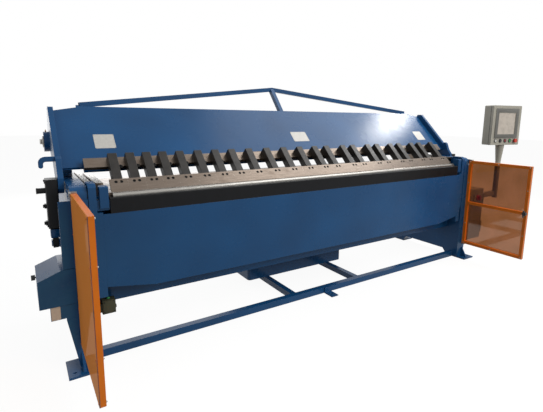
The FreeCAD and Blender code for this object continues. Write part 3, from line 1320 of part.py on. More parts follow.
LOW_HINGE = "(cabinet_bottom + 60)"
HIGH_HINGE = f"({CABINET_TOP} - 60 - 2 * hinge_length)"
fixed_barrels = hinge_barrels("fixed_barrel", (LOW_HINGE, HIGH_HINGE))
hinge_tabs = [
    box(f"hinge_tab_{number}", CABINET_END, "0", low, "6", "14", "hinge_length")
    for number, low in enumerate((LOW_HINGE, HIGH_HINGE))
]
cabinet_shell = cut("cabinet_shell", cabinet_box, [cabinet_hollow])
keep("electrical_cabinet", fused(
    "electrical_cabinet", [cabinet_shell, mounting_plate] + cabinet_rails + fixed_barrels + hinge_tabs,
))
door = box(
    "door_sheet", f"{CABINET_X} + 1", "-0.3", "cabinet_bottom + 1", "cabinet_width - 5", "door_thick",
    f"{CABINET_HEIGHT} - 2",
)
leaf_heights = (f"{LOW_HINGE} + hinge_length + 0.5", f"{HIGH_HINGE} + hinge_length + 0.5")
door_hinges = hinge_barrels("door_barrel", leaf_heights) + [
    box(f"door_leaf_{number}", f"{DOOR_X} - 24", "-3.3", low, "24", "3", "hinge_length")
    for number, low in enumerate(leaf_heights)
]
SWITCH_MIDDLE = f"({CABINET_X} + 196)"
SWITCH_HEIGHT = f"({CABINET_TOP} - 88)"
switch_base = box(
    "switch_base", f"{SWITCH_MIDDLE} - 61", "-8.3", f"{SWITCH_HEIGHT} - 32", "122", "8", "64",
)
door_pull = box(
    "door_pull", f"{CABINET_X} + 14", "-14.3", "cabinet_bottom + 240", "16", "14", "60",
)
shaft_hole = cylinder(
    "shaft_hole", "y", SWITCH_MIDDLE, "-9", SWITCH_HEIGHT, "switch_shaft + pin_play", "15",
)
keep("cabinet_door", cut(
    "cabinet_door", fused("door_solid", [door, switch_base, door_pull] + door_hinges), [shaft_hole],
))
switch_disc = cylinder("switch_disc", "y", SWITCH_MIDDLE, "-20", SWITCH_HEIGHT, "switch_knob", "11.4")
switch_shaft = cylinder("switch_stem", "y", SWITCH_MIDDLE, "-10", SWITCH_HEIGHT, "switch_shaft", "12")
switch_grip = box(
    "switch_grip", f"{SWITCH_MIDDLE} - 7", "-40", f"{SWITCH_HEIGHT} - 24", "14", "21", "48",
)
keep("main_switch", fused("main_switch", [switch_disc, switch_shaft, switch_grip]))

POST_X = f"({CABINET_END} + post_reach)"
NECK_LOW = "(panel_bottom - 14 - neck_length)"
post = cylinder(
    "post_tube", "z", POST_X, "post_y", f"{CABINET_TOP} - 120", "post_pipe",
    f"{NECK_LOW} - {CABINET_TOP} + 120",
)
post_neck = turned("post_neck", "z", (POST_X, "post_y"), [
    (NECK_LOW, "0"), (NECK_LOW, "post_pipe"), ("panel_bottom - 14", "post_collar"),
    ("panel_bottom - 0.3", "post_collar"), ("panel_bottom - 0.3", "0"),
])
post_arm = box(
    "post_arm", CABINET_END, "door_thick", f"{CABINET_TOP} - 100", "post_reach", "44", "50",
)
spigot_hole = cylinder(
    "spigot_hole", "z", POST_X, "post_y", "panel_bottom - 42", "15 + pin_play", "60",
)
keep("pendant_post", cut("pendant_post", fused("post_solid", [post, post_neck, post_arm]), [spigot_hole]))


def on_panel(item):
    """Move a piece drawn about the post's axis to the post, turned with the operator panel."""
    item.Placement = Placement(Vector(0, 0, 0), Rotation(Vector(0, 0, 1), 1))
    item.setExpression("Placement.Rotation.Angle", sized("-panel_turn"))
    return place(item, POST_X, "post_y", "0")


PANEL_TOP = "(panel_bottom + panel_height)"
PANEL_FACE = "(-panel_depth / 2)"
housing = extrude(
    "housing_block", "front", PANEL_FACE, "panel_depth",
    rectangle("-panel_width / 2", "panel_bottom", "panel_width / 2", PANEL_TOP),
)
soften(housing, "Chamfer", "panel_chamfer", lambda middle, way: abs(way.y) > 0.9)
housing_hollow = box(
    "housing_hollow", "-panel_width / 2 + panel_wall", f"{PANEL_FACE} + panel_wall",
    "panel_bottom + panel_wall",
    "panel_width - 2 * panel_wall", "panel_depth - 2 * panel_wall", "panel_height - 2 * panel_wall",
)
SCREEN_LOW = "(panel_bottom + screen_rise)"
screen_hole = box(
    "screen_hole", "-screen_width / 2 - 0.05", f"{PANEL_FACE} - 1", f"{SCREEN_LOW} - 0.05",
    "screen_width + 0.1", "panel_wall + 2", "screen_height + 0.1",
)
BUTTON_Z = "(panel_bottom + button_rise)"
button_spots = [f"{step} * button_pitch" for step in (-2, -1, 0, 1, 2)]
button_holes = [
    extrude(f"button_hole_{number}", "front", f"{PANEL_FACE} - 1", "panel_wall + 2",
            octagon(spot, BUTTON_Z, "button_radius + button_play"))
    for number, spot in enumerate(button_spots)
]
spigot = cylinder("spigot", "z", "0", "0", "panel_bottom - 40", "15", "44")
bezel = extrude(
    "screen_bezel", "front", f"{PANEL_FACE} - 3", "3",
    rectangle("-screen_width / 2 - bezel_side", f"{SCREEN_LOW} - bezel_low",
              "screen_width / 2 + bezel_side", f"{SCREEN_LOW} + screen_height + bezel_high"),
    windows=[rectangle("-screen_width / 2", SCREEN_LOW, "screen_width / 2",
                       f"{SCREEN_LOW} + screen_height", True)],
)
housing_solid = cut("housing_shell", housing, [housing_hollow, screen_hole] + button_holes)
keep("pendant_housing", on_panel(fused("pendant_housing", [housing_solid, bezel, spigot])))
keep("pendant_screen", on_panel(extrude(
    "pendant_screen", "front", f"{PANEL_FACE} + 0.5", "3",
    rectangle("-screen_width / 2", SCREEN_LOW, "screen_width / 2", f"{SCREEN_LOW} + screen_height"),
)))

BUTTON_NAMES = ["light_button", "open_button", "close_button", "start_button"]
for name, spot in zip(BUTTON_NAMES, button_spots):
    button = cylinder(name + "_body", "y", spot, f"{PANEL_FACE} - 6", BUTTON_Z, "button_radius", "20")
    keep(name, on_panel(gathered(name, [button])))
stop_head = cylinder("stop_head", "y", button_spots[4], f"{PANEL_FACE} - 22", BUTTON_Z, "20", "13")
stop_stem = cylinder("stop_stem", "y", button_spots[4], f"{PANEL_FACE} - 10", BUTTON_Z, "button_radius", "24")
keep("emergency_stop", on_panel(fused("emergency_stop", [stop_head, stop_stem])))

doc.recompute()
failed = []
for item in doc.Objects:
    if "Invalid" in item.State or "Error" in item.State:
        failed.append(f"{item.Label}: {item.State}")
for name, item in nodes.items():
    if item.Shape.isNull() or not item.Shape.isValid():
        failed.append(f"{name}: no valid shape")
if failed:
    raise RuntimeError("; ".join(failed))

os.makedirs("parts", exist_ok=True)
for name, item in nodes.items():
    item.Shape.exportStep(f"parts/{name}.step")
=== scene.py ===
import json
import math

import bmesh
import bpy
from bpy.props import FloatProperty, FloatVectorProperty, IntProperty, PointerProperty
from mathutils import Matrix, Vector


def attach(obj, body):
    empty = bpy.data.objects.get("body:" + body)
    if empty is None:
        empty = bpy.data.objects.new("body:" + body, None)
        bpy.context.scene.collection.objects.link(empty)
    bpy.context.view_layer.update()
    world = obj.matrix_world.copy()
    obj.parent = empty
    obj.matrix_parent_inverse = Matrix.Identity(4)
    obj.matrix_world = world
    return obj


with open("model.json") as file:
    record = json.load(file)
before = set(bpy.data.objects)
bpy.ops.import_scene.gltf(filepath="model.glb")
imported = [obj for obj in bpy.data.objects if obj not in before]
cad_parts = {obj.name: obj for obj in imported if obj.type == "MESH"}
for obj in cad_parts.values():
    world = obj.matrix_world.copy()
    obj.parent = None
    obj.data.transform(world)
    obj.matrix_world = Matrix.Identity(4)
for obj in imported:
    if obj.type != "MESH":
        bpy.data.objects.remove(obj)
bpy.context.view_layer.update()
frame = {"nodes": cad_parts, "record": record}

# A hydraulic folding machine with a segmented clamp beam, in metres.
# X runs along the bend line, Y to the back and Z up, with the floor at Z = 0.

bl_info = {
    "name": "Folding machine dressing",
    "version": (1, 0, 0),
    "blender": (4, 5, 0),
    "location": "View3D > Sidebar > Folding machine",
    "description": "Finishes, fasteners, fittings and the studio for a sheet metal folding machine",
    "category": "Object",
}

# A millimetre in metres.
MM = 0.001

# Places on the machine in millimetres, as the part has them.
BED_TOP = 956
BLADE_GAP = 0.5
HALF_BED = 1550
INNER_WEB = 1680
OUTER_WEB = 1762
GUARD_DEPTH = 28
# Depths behind the blade face: the clamp beam's front plate, the feet of the cleats and the floor of a
# screw seat.
FRONT_DEPTH = 100
CLEAT_DEPTH = 56
SEAT_DEPTH = 9.2
# Middles of a clamp cylinder and of a pivot pin of the clamp beam.
CYLINDER_X, CYLINDER_Y = 1827, 205
PIVOT_Y, PIVOT_Z = 650, 1205
# The operator panel: its post and how far it is turned, in degrees.
PANEL_POST = (2415, 12)
PANEL_TURN = -12
# Hydraulic unit: the motor's middle, the valve coils along the tank, and the tank's lid and back.
MOTOR = (-280, 620, 523)
VALVES_X = (255, 325, 395)
TANK_TOP = 428
TANK_BACK = 900
SIDES = (("left", -1), ("right", 1))
# Width of the blade segments, their number and the middles of the fingers behind each.
BLADE_ROWS = ((100, 4, (50,)), (125, 4, (62.5,)), (150, 5, (75,)), (290, 5, (46.4, 223.3)))

HALF_ROOT = math.sqrt(0.5)
SLOPE_X = Vector((1, 0, 0))
SLOPE_UP = Vector((0, HALF_ROOT, HALF_ROOT))
SLOPE_OUT = Vector((0, -HALF_ROOT, HALF_ROOT))

# Stretches of a pattern, which make the lines in steel run along X, along Y or round X.
FINE_ALONG_X = (1, 60, 60)
COARSE_ALONG_X = (1, 30, 30)
LINES_ALONG_Y = (40, 1, 40)
LINES_ROUND_X = (40, 1, 1)


# Colour and node helpers.
def linear(code):
    """A hex sRGB colour as linear RGBA."""
    code = code.lstrip("#")
    parts = [int(code[i:i + 2], 16) / 255 for i in (0, 2, 4)]
    return tuple(p / 12.92 if p <= 0.04045 else ((p + 0.055) / 1.055) ** 2.4 for p in parts) + (1.0,)


def add(tree, kind, feeds, **settings):
    """Add a shader node with its settings. Each socket gets a value, a hex colour, or what feeds it: a
    socket, or a node, of which the first output in use is taken."""
    item = tree.nodes.new("ShaderNode" + kind)
    for name, setting in settings.items():
        setattr(item, name, setting)
    for socket, feed in feeds.items():
        if isinstance(feed, bpy.types.Node):
            feed = next(output for output in feed.outputs if output.enabled)
        if isinstance(feed, bpy.types.NodeSocket):
            tree.links.new(feed, item.inputs[socket])
        else:
            item.inputs[socket].default_value = linear(feed) if isinstance(feed, str) else feed
    return item


def empty_tree(owner):
    """The node tree of a material or world, with nothing in it."""
    owner.use_nodes = True
    owner.node_tree.nodes.clear()
    return owner.node_tree


def new_material(name):
    """A material, its empty tree and the piece's own coordinates in metres."""
    made = bpy.data.materials.new(name)
    tree = empty_tree(made)
    return made, tree, add(tree, "TexCoord", {}).outputs["Object"]


# Some sockets are given by number. A Map Range has its value, the span that this is in and the span that
# it gives, and a Mix has its share, and two colours at 6 and 7.
def grain(tree, place, size_mm, detail=2.0, stretch=(1, 1, 1)):
    """Noise whose grains are size_mm across, longer along an axis that stretch makes small."""
    mapped = add(tree, "Mapping", {"Vector": place, "Scale": stretch})
    return add(tree, "TexNoise", {"Vector": mapped, "Scale": 1 / (size_mm * MM), "Detail": detail})


def worn_edges(tree, radius_mm):
    """The rounded normal of sharp edges, and a mask that is 1 on them."""
    soft = add(tree, "Bevel", {"Radius": radius_mm * MM}, samples=4)
    flat = add(tree, "NewGeometry", {}).outputs["Normal"]
    turned = add(tree, "VectorMath", {0: soft, 1: flat}, operation="DOT_PRODUCT")
    return soft, add(tree, "MapRange", {0: turned, 1: 0.995, 2: 0.86})


def enamel(name, colour, shade, roughness=0.26, edge="#8493A6", shine=0.2):
    """Machine enamel: sprayed over filled plate, so it has slow waves, orange peel and chipped edges."""
    made, tree, place = new_material(name)
    soft, edges = worn_edges(tree, 2.2)
    # Film thickness and dust vary over some 400 mm.
    cloud = add(tree, "MapRange", {0: grain(tree, place, 400, 1.5), 1: 0.3, 2: 0.75})
    paint = add(tree, "Mix", {0: cloud, 6: colour, 7: shade}, data_type="RGBA")
    # Handling scuffs are about 30 mm apart and only show on the edges.
    scuffs = add(tree, "MapRange", {0: grain(tree, place, 30, 4), 1: 0.55, 2: 0.68})
    chips = add(tree, "Math", {0: edges, 1: scuffs}, operation="MULTIPLY")
    bare = add(tree, "MapRange", {0: chips, 1: 0.3, 2: 1, 3: 0, 4: 0.5})
    waves = add(tree, "Bump", {
        "Height": grain(tree, place, 160, 1), "Distance": 0.5 * MM, "Strength": 0.6, "Normal": soft,
    })
    # Orange peel is 2 mm wide on the real paint and is drawn at 6 mm to show.
    peel = grain(tree, place, 6, 1)
    gloss = grain(tree, place, 120, 2)
    shader = add(tree, "BsdfPrincipled", {
        "Base Color": add(tree, "Mix", {0: bare, 6: paint, 7: edge}, data_type="RGBA"),
        "Normal": add(tree, "Bump", {
            "Height": peel, "Distance": 0.02 * MM, "Strength": 0.3, "Normal": waves,
        }),
        "Roughness": add(tree, "MapRange", {
            0: gloss, 1: 0.2, 2: 0.8, 3: roughness - 0.03, 4: roughness + 0.04,
        }),
        "Specular IOR Level": shine,
    })
    add(tree, "OutputMaterial", {"Surface": shader})
    return made


def powder_coat(name, colour, shade, grain_mm=3.2, roughness=0.5, shine=0.5):
    """Powder coat: baked polyester with a fine leathery texture that breaks up highlights."""
    made, tree, place = new_material(name)
    soft, edges = worn_edges(tree, 1.2)
    cloud = add(tree, "MapRange", {0: grain(tree, place, 250, 3), 1: 0.35, 2: 0.7})
    tone = add(tree, "Mix", {0: cloud, 6: colour, 7: shade}, data_type="RGBA")
    soiled = add(tree, "Math", {0: edges, 1: 0.25}, operation="MULTIPLY")
    # The texture is about 0.6 mm on the real coat and is drawn coarser to show.
    leather = grain(tree, place, grain_mm, 2)
    gloss = grain(tree, place, 60, 3)
    shader = add(tree, "BsdfPrincipled", {
        "Base Color": add(tree, "Mix", {0: soiled, 6: tone, 7: shade}, data_type="RGBA"),
        "Normal": add(tree, "Bump", {
            "Height": leather, "Distance": 0.06 * MM, "Strength": 0.7, "Normal": soft,
        }),
        "Roughness": add(tree, "MapRange", {
            0: gloss, 1: 0.3, 2: 0.7, 3: roughness - 0.06, 4: roughness + 0.08,
        }),
        "Specular IOR Level": shine,
    })
    add(tree, "OutputMaterial", {"Surface": shader})
    return made


def steel(name, colour, shade, lines=FINE_ALONG_X, line_mm=90, roughness=0.3, stain="#5B4D40", stains=0.35):
    """Bare steel, ground or machined: fine parallel lines, and oil that has dried brown in places."""
    made, tree, place = new_material(name)
    soft, edges = worn_edges(tree, 0.8)
    scratch = grain(tree, place, line_mm, 3, lines)
    fine = add(tree, "MapRange", {0: scratch, 1: 0.3, 2: 0.7})
    tone = add(tree, "Mix", {0: fine, 6: colour, 7: shade}, data_type="RGBA")
    oil = add(tree, "MapRange", {0: grain(tree, place, 70, 4), 1: 0.52, 2: 0.75, 3: 0, 4: stains})
    dulled = add(tree, "Mix", {0: oil, 6: tone, 7: stain}, data_type="RGBA")
    rubbed = add(tree, "MapRange", {0: edges, 1: 0, 2: 1, 3: 0, 4: 0.35})
    matt = add(tree, "Math", {0: scratch, 1: oil}, operation="ADD")
    shader = add(tree, "BsdfPrincipled", {
        "Base Color": add(tree, "Mix", {0: rubbed, 6: dulled, 7: "#C9C6C0"}, data_type="RGBA"),
        "Metallic": 1.0,
        "Normal": add(tree, "Bump", {
            "Height": scratch, "Distance": 0.04 * MM, "Strength": 0.5, "Normal": soft,
        }),
        "Roughness": add(tree, "MapRange", {
            0: matt, 1: 0.3, 2: 1, 3: roughness - 0.06, 4: roughness + 0.18,
        }),
    })
    add(tree, "OutputMaterial", {"Surface": shader})
    return made


def black_oxide(name, colour, shade, roughness=0.42, shine=0.15):
    """Black oxide on tool steel: a thin dark skin, oily, rubbed grey on its edges."""
    made, tree, place = new_material(name)
    soft, edges = worn_edges(tree, 1.6)
    cloud = add(tree, "MapRange", {0: grain(tree, place, 60, 5), 1: 0.35, 2: 0.7})
    tone = add(tree, "Mix", {0: cloud, 6: colour, 7: shade}, data_type="RGBA")
    patches = add(tree, "MapRange", {0: grain(tree, place, 18, 3), 1: 0.35, 2: 0.65, 3: 0.2, 4: 0.8})
    rubbed = add(tree, "Math", {0: edges, 1: patches}, operation="MULTIPLY")
    pores = grain(tree, place, 5, 3)
    gloss = grain(tree, place, 25, 4)
    shader = add(tree, "BsdfPrincipled", {
        "Base Color": add(tree, "Mix", {0: rubbed, 6: tone, 7: "#6E6C68"}, data_type="RGBA"),
        "Normal": add(tree, "Bump", {
            "Height": pores, "Distance": 0.03 * MM, "Strength": 0.4, "Normal": soft,
        }),
        "Roughness": add(tree, "MapRange", {
            0: gloss, 1: 0.3, 2: 0.7, 3: roughness - 0.08, 4: roughness + 0.1,
        }),
        "Specular IOR Level": shine,
    })
    add(tree, "OutputMaterial", {"Surface": shader})
    return made


def moulded(name, colour, shade, roughness=0.35):
    """Moulded plastic: even colour with a fine spark-eroded grain."""
    made, tree, place = new_material(name)
    soft, edges = worn_edges(tree, 0.6)
    cloud = add(tree, "MapRange", {0: grain(tree, place, 15, 3), 1: 0.3, 2: 0.7})
    handled = add(tree, "MapRange", {0: edges, 1: 0, 2: 1, 3: 0.6, 4: 1})
    share = add(tree, "Math", {0: cloud, 1: handled}, operation="MULTIPLY")
    # The sparks leave pits of some 0.1 mm, drawn at 1.5 mm to show.
    pits = grain(tree, place, 1.5, 2)
    gloss = grain(tree, place, 8, 2)
    shader = add(tree, "BsdfPrincipled", {
        "Base Color": add(tree, "Mix", {0: share, 6: colour, 7: shade}, data_type="RGBA"),
        "Normal": add(tree, "Bump", {
            "Height": pits, "Distance": 0.03 * MM, "Strength": 0.5, "Normal": soft,
        }),
        "Roughness": add(tree, "MapRange", {
            0: gloss, 1: 0.3, 2: 0.7, 3: roughness - 0.05, 4: roughness + 0.07,
        }),
        "IOR": 1.49,
    })
    add(tree, "OutputMaterial", {"Surface": shader})
    return made


def tinted_sheet(name, colour, deep):
    """Amber polycarbonate, 4 mm thick: clear when faced, and a solid orange when seen along the sheet."""
    made, tree, place = new_material(name)
    cloud = add(tree, "MapRange", {0: grain(tree, place, 200, 2), 1: 0.3, 2: 0.7})
    # Wipe marks run up and down the sheet, about 90 mm apart.
    wiped = grain(tree, place, 90, 4, (1, 1, 0.2))
    clear = add(tree, "BsdfPrincipled", {
        "Base Color": add(tree, "Mix", {0: cloud, 6: colour, 7: deep}, data_type="RGBA"),
        "Roughness": add(tree, "MapRange", {0: wiped, 1: 0.45, 2: 0.75, 3: 0.02, 4: 0.1}),
        "Transmission Weight": 1.0,
        "IOR": 1.58,
        "Specular IOR Level": 0.15,
    })
    # Seen along the sheet, light passes through far more of the dye and scatters in it.
    slant = add(tree, "LayerWeight", {"Blend": 0.5}).outputs["Facing"]
    depth = add(tree, "MapRange", {0: slant, 1: 0.6, 2: 0.88, 3: 0, 4: 0.92})
    dyed = add(tree, "BsdfDiffuse", {"Color": "#F39A4A"})
    body = add(tree, "MixShader", {0: depth, 1: clear, 2: dyed})
    # Lamps reach what stands behind the sheet, tinted by it.
    lamp = add(tree, "LightPath", {}).outputs["Is Shadow Ray"]
    open_way = add(tree, "BsdfTransparent", {"Color": "#F4D6AE"})
    lit = add(tree, "MixShader", {0: lamp, 1: body, 2: open_way})
    add(tree, "OutputMaterial", {"Surface": lit})
    return made


def display_glass(name):
    """Touch screen: glossy cover glass over a plain grey-beige panel that is switched off."""
    made, tree, place = new_material(name)
    smear = add(tree, "MapRange", {0: grain(tree, place, 45, 4), 1: 0.4, 2: 0.7})
    shader = add(tree, "BsdfPrincipled", {
        "Base Color": add(tree, "Mix", {0: smear, 6: "#B9AEA0", 7: "#A89E92"}, data_type="RGBA"),
        "Roughness": add(tree, "MapRange", {0: smear, 1: 0, 2: 1, 3: 0.08, 4: 0.22}),
        "Coat Weight": 0.6,
        "Coat Roughness": 0.04,
    })
    add(tree, "OutputMaterial", {"Surface": shader})
    return made


def chosen(name):
    """The colour and the shade that the sidebar gives for a finish."""
    colours = bpy.context.scene.fold_colours
    return tuple(getattr(colours, name)), tuple(getattr(colours, name + "_shade"))


FINISHES = {
    "blue_paint": lambda: enamel("blue_machine_enamel", *chosen("blue")),
    "grey_paint": lambda: enamel("grey_motor_enamel", "#6F6E69", "#62615D", 0.4, "#A3A19B"),
    "black_paint": lambda: enamel("satin_black_enamel", "#141517", "#0F1012", 0.42, "#4A4C4F"),
    "beige_paint": lambda: powder_coat("beige_powder_coat", *chosen("beige")),
    "olive_paint": lambda: enamel("olive_cast_enamel", "#4A4B39", "#3B3C2E", 0.5, "#6E6E5C"),
    "orange_paint": lambda: powder_coat("orange_powder_coat", *chosen("orange"), 2.4, 0.4, 0.25),
    "bare_steel": lambda: steel("oiled_ground_steel", "#80746A", "#635950"),
    "machined_steel": lambda: steel(
        "machined_steel", "#A8A6A1", "#908D88", COARSE_ALONG_X, 60, 0.28, "#6F6A62", 0.2,
    ),
    "gear_steel": lambda: steel(
        "greased_gear_steel", "#77736C", "#5F5B54", LINES_ALONG_Y, 40, 0.34, "#3A3127", 0.5,
    ),
    "black_steel": lambda: black_oxide("black_oxide_bar", "#101114", "#0B0C0E"),
    "finger_steel": lambda: black_oxide("black_oxide_fingers", "#2C2926", "#1F1D1B", 0.4, 0.3),
    "bronze": lambda: steel("turned_bronze", "#A97F45", "#8E6835", LINES_ROUND_X, 20, 0.3, "#5A4322", 0.3),
    "amber_sheet": lambda: tinted_sheet("amber_polycarbonate", *chosen("amber")),
    "screen_glass": lambda: display_glass("display_glass"),
    "black_plastic": lambda: moulded("black_moulded_nylon", "#1B1B1C", "#121213", 0.45),
    "red_plastic": lambda: moulded("red_moulded_plastic", "#C8321E", "#A92816"),
    "dark_red_plastic": lambda: moulded("dark_red_moulded_plastic", "#7A1F22", "#5F171A"),
    "green_plastic": lambda: moulded("green_moulded_plastic", "#2E8A4A", "#22703A"),
    "white_plastic": lambda: moulded("white_moulded_plastic", "#C2C0BA", "#B2AFA8"),
}
made_finishes = {}


def finish_of(slot):
    """The material of a slot, made once."""
    if slot not in made_finishes:
        made_finishes[slot] = FINISHES[slot]()
    return made_finishes[slot]


# Modelling helpers. Sizes inside the steps are in millimetres, and at() turns them to metres.
def at(x, y, z):
    """A place or a step in metres."""
    return Vector((x, y, z)) * MM


def shifted(x, y, z):
    """The matrix that moves a pattern."""
    return Matrix.Translation(at(x, y, z))


def on_slope(x, along, depth=FRONT_DEPTH):
    """A point of the clamp beam: along the bend line, up its 45 degree slope and behind the blade face."""
    return at(x, (along + depth) / math.sqrt(2), BED_TOP + BLADE_GAP + (along - depth) / math.sqrt(2))


def standing(spot, way=(0, 0, 1)):
    """The matrix that stands a pattern on a spot with its Z axis along way."""
    return Matrix.Translation(spot) @ Vector(way).to_track_quat("Z", "Y").to_matrix().to_4x4()


def sloping(x, along, depth=FRONT_DEPTH):
    """The matrix that lays a pattern on the slope: its X along the bend line, its Y up the slope."""
    lay = Matrix((SLOPE_X, SLOPE_UP, SLOPE_OUT)).transposed().to_4x4()
    return Matrix.Translation(on_slope(x, along, depth)) @ lay


def on_panel(x, y, z):
    """The matrix of a spot on the operator panel, which is turned about its post."""
    return shifted(*PANEL_POST, 0) @ Matrix.Rotation(math.radians(PANEL_TURN), 4, "Z") @ shifted(x, y, z)


def finger_middles():
    """The middle of each finger along the bend line."""
    left = -HALF_BED
    found = []
    for width, count, middles in BLADE_ROWS:
        for number in range(count):
            found += [left + number * width + middle for middle in middles]
        left += count * width
    return found


def choose(*parts):
    """Select these objects alone, the first one active."""
    bpy.ops.object.select_all(action="DESELECT")
    for part in parts:
        part.select_set(True)
    bpy.context.view_layer.objects.active = parts[0]


def added(name):
    """Name the primitive that was just added and put its place and size into its mesh."""
    piece = bpy.context.active_object
    piece.name = name
    bpy.ops.object.transform_apply(location=True, rotation=True, scale=True)
    return piece


def rounded(piece, width, segments=2, angle=30):
    """Round the edges that are sharper than an angle."""
    choose(piece)
    bpy.ops.object.modifier_add(type="BEVEL")
    modifier = piece.modifiers[-1]
    modifier.width = width * MM
    modifier.segments = segments
    modifier.limit_method = "ANGLE"
    modifier.angle_limit = math.radians(angle)
    bpy.ops.object.modifier_apply(modifier=modifier.name)
    return piece


def block(name, low, high, edge=1.0, segments=2):
    """A box between two corners with rounded edges."""
    low, high = at(*low), at(*high)
    bpy.ops.object.select_all(action="DESELECT")
    bpy.ops.mesh.primitive_cube_add(size=1, location=(low + high) / 2, scale=high - low)
    piece = added(name)
    return rounded(piece, edge, segments) if edge else piece


def bar(name, length, radius, sides=24, end=None):
    """A round bar, or a cone that ends in another radius, standing on the origin."""
    bpy.ops.object.select_all(action="DESELECT")
    bpy.ops.mesh.primitive_cone_add(
        vertices=sides, radius1=radius * MM, radius2=(radius if end is None else end) * MM,
        depth=length * MM, location=(0, 0, length * MM / 2),
    )
    return added(name)


def shaped(piece, kind, wanted, *steps):
    """In edit mode, select the faces or edges that pass a test and run the steps on them."""
    choose(piece)
    bpy.ops.object.mode_set(mode="EDIT")
    bpy.ops.mesh.select_mode(type=kind)
    bpy.ops.mesh.select_all(action="DESELECT")
    mesh = bmesh.from_edit_mesh(piece.data)
    found = [item for item in (mesh.faces if kind == "FACE" else mesh.edges) if wanted(item)]
    if not found:
        raise RuntimeError(f"{piece.name}: nothing to shape")
    for item in found:
        item.select_set(True)
    bmesh.update_edit_mesh(piece.data)
    for step in steps:
        step()
    bpy.ops.object.mode_set(mode="OBJECT")
    return piece


def facing(x, y, z):
    """A test for the faces that look along a direction."""
    return lambda face: face.normal.dot(Vector((x, y, z))) > 0.99


def running(axis, least):
    """A test for the edges that run further than this along an axis."""
    return lambda edge: abs(edge.verts[0].co[axis] - edge.verts[1].co[axis]) > least * MM


def upright_rim(reach):
    """A test for the upright edges at the rim of a six-sided bar."""
    upright = running(2, 0.1)
    return lambda edge: all(v.co.xy.length > reach * 0.9 * MM for v in edge.verts) and upright(edge)


def inset(width):
    """A step that insets the chosen faces."""
    return lambda: bpy.ops.mesh.inset(thickness=width * MM)


def push(x, y, z):
    """A step that extrudes the chosen faces."""
    return lambda: bpy.ops.mesh.extrude_region_move(TRANSFORM_OT_translate={"value": at(x, y, z)})


def bevel(width, segments=1):
    """A step that bevels the chosen edges."""
    return lambda: bpy.ops.mesh.bevel(offset=width * MM, segments=segments, affect="EDGES")


def pierced(piece, wall, way=(0, 0, 1)):
    """Open a hole between the two end faces of a piece, with a wall left round it."""
    way = Vector(way)
    return shaped(piece, "FACE", lambda face: abs(face.normal.dot(way)) > 0.99, inset(wall),
                  lambda: bpy.ops.mesh.bridge_edge_loops())


def joined(name, parts):
    """One piece made of several."""
    choose(*parts)
    if len(parts) > 1:
        bpy.ops.object.join()
    piece = bpy.context.active_object
    piece.name = name
    return piece


def repeated(name, pattern, places):
    """Copies of a pattern, each with its own mesh, joined as one piece."""
    copies = []
    for place in places:
        part = pattern.copy()
        part.data = pattern.data.copy()
        bpy.context.collection.objects.link(part)
        part.data.transform(place)
        copies.append(part)
    bpy.data.objects.remove(pattern)
    return joined(name, copies)


def dressed(piece, slot, body, angle=35):
    """Smooth a finished piece, give it its slot's finish and let it ride on a body."""
    choose(piece)
    bpy.ops.object.shade_smooth_by_angle(angle=math.radians(angle))
    piece.data.materials.clear()
    piece.data.materials.append(finish_of(slot))
    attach(piece, body)
    return piece


# Patterns of screws, nuts and rivets, standing on the origin.
def hexagon_reach(across):
    """The corner radius of a hexagon of this width across its flats."""
    return across / 2 / math.cos(math.pi / 6)


def cap_screw(diameter, height):
    """The head of a cap screw: a hexagon socket in a round head, with a small rim radius."""
    reach = hexagon_reach(diameter)
    piece = bar("cap_screw", height, reach, 6)
    shaped(piece, "FACE", facing(0, 0, 1), inset(diameter * 0.2), push(0, 0, -height * 0.6))
    shaped(piece, "EDGE", upright_rim(reach), bevel(reach * 0.48, 3))
    return rounded(piece, diameter * 0.03, 1, 50)


def hex_bolt(across, height):
    """A hexagon head with chamfered corners on a round washer."""
    reach = hexagon_reach(across)
    head = bar("hex_head", height, reach, 6)
    head.data.transform(shifted(0, 0, height * 0.25))
    rounded(head, height * 0.14, 1)
    washer = rounded(bar("washer", height * 0.25, reach * 1.15, 20), height * 0.06, 1)
    return joined("hex_bolt", [head, washer])


def button_screw(diameter, height):
    """A low domed head with a small hexagon socket."""
    reach = hexagon_reach(diameter)
    piece = bar("button_screw", height, reach, 6, reach * 0.62)
    shaped(piece, "FACE", facing(0, 0, 1), inset(diameter * 0.12), push(0, 0, -height * 0.5))
    shaped(piece, "EDGE", upright_rim(reach * 0.5), bevel(reach * 0.3, 2))
    return piece


def cap_nut(across):
    """A low hexagon nut with a domed cap."""
    nut = rounded(bar("nut", across * 0.4, hexagon_reach(across), 6), across * 0.05, 1)
    dome = bar("dome", across * 0.35, across * 0.44, 16, across * 0.22)
    dome.data.transform(shifted(0, 0, across * 0.39))
    return joined("cap_nut", [nut, rounded(dome, across * 0.1, 2, 20)])


def rivet(diameter, height):
    """A closed blind rivet: a low dome with the mark of its mandrel."""
    piece = bar("rivet", height, diameter / 2, 14, diameter * 0.3)
    shaped(piece, "FACE", facing(0, 0, 1), inset(diameter * 0.18), push(0, 0, -height * 0.35))
    return piece


def seen_rays(tree):
    """1 where the camera, a reflection or clear sheet looks at a surface, and 0 where it only lights."""
    path = add(tree, "LightPath", {}).outputs
    seen = add(tree, "Math", {0: path["Is Camera Ray"], 1: path["Is Glossy Ray"]}, operation="MAXIMUM")
    return add(tree, "Math", {0: seen, 1: path["Is Transmission Ray"]}, operation="MAXIMUM")


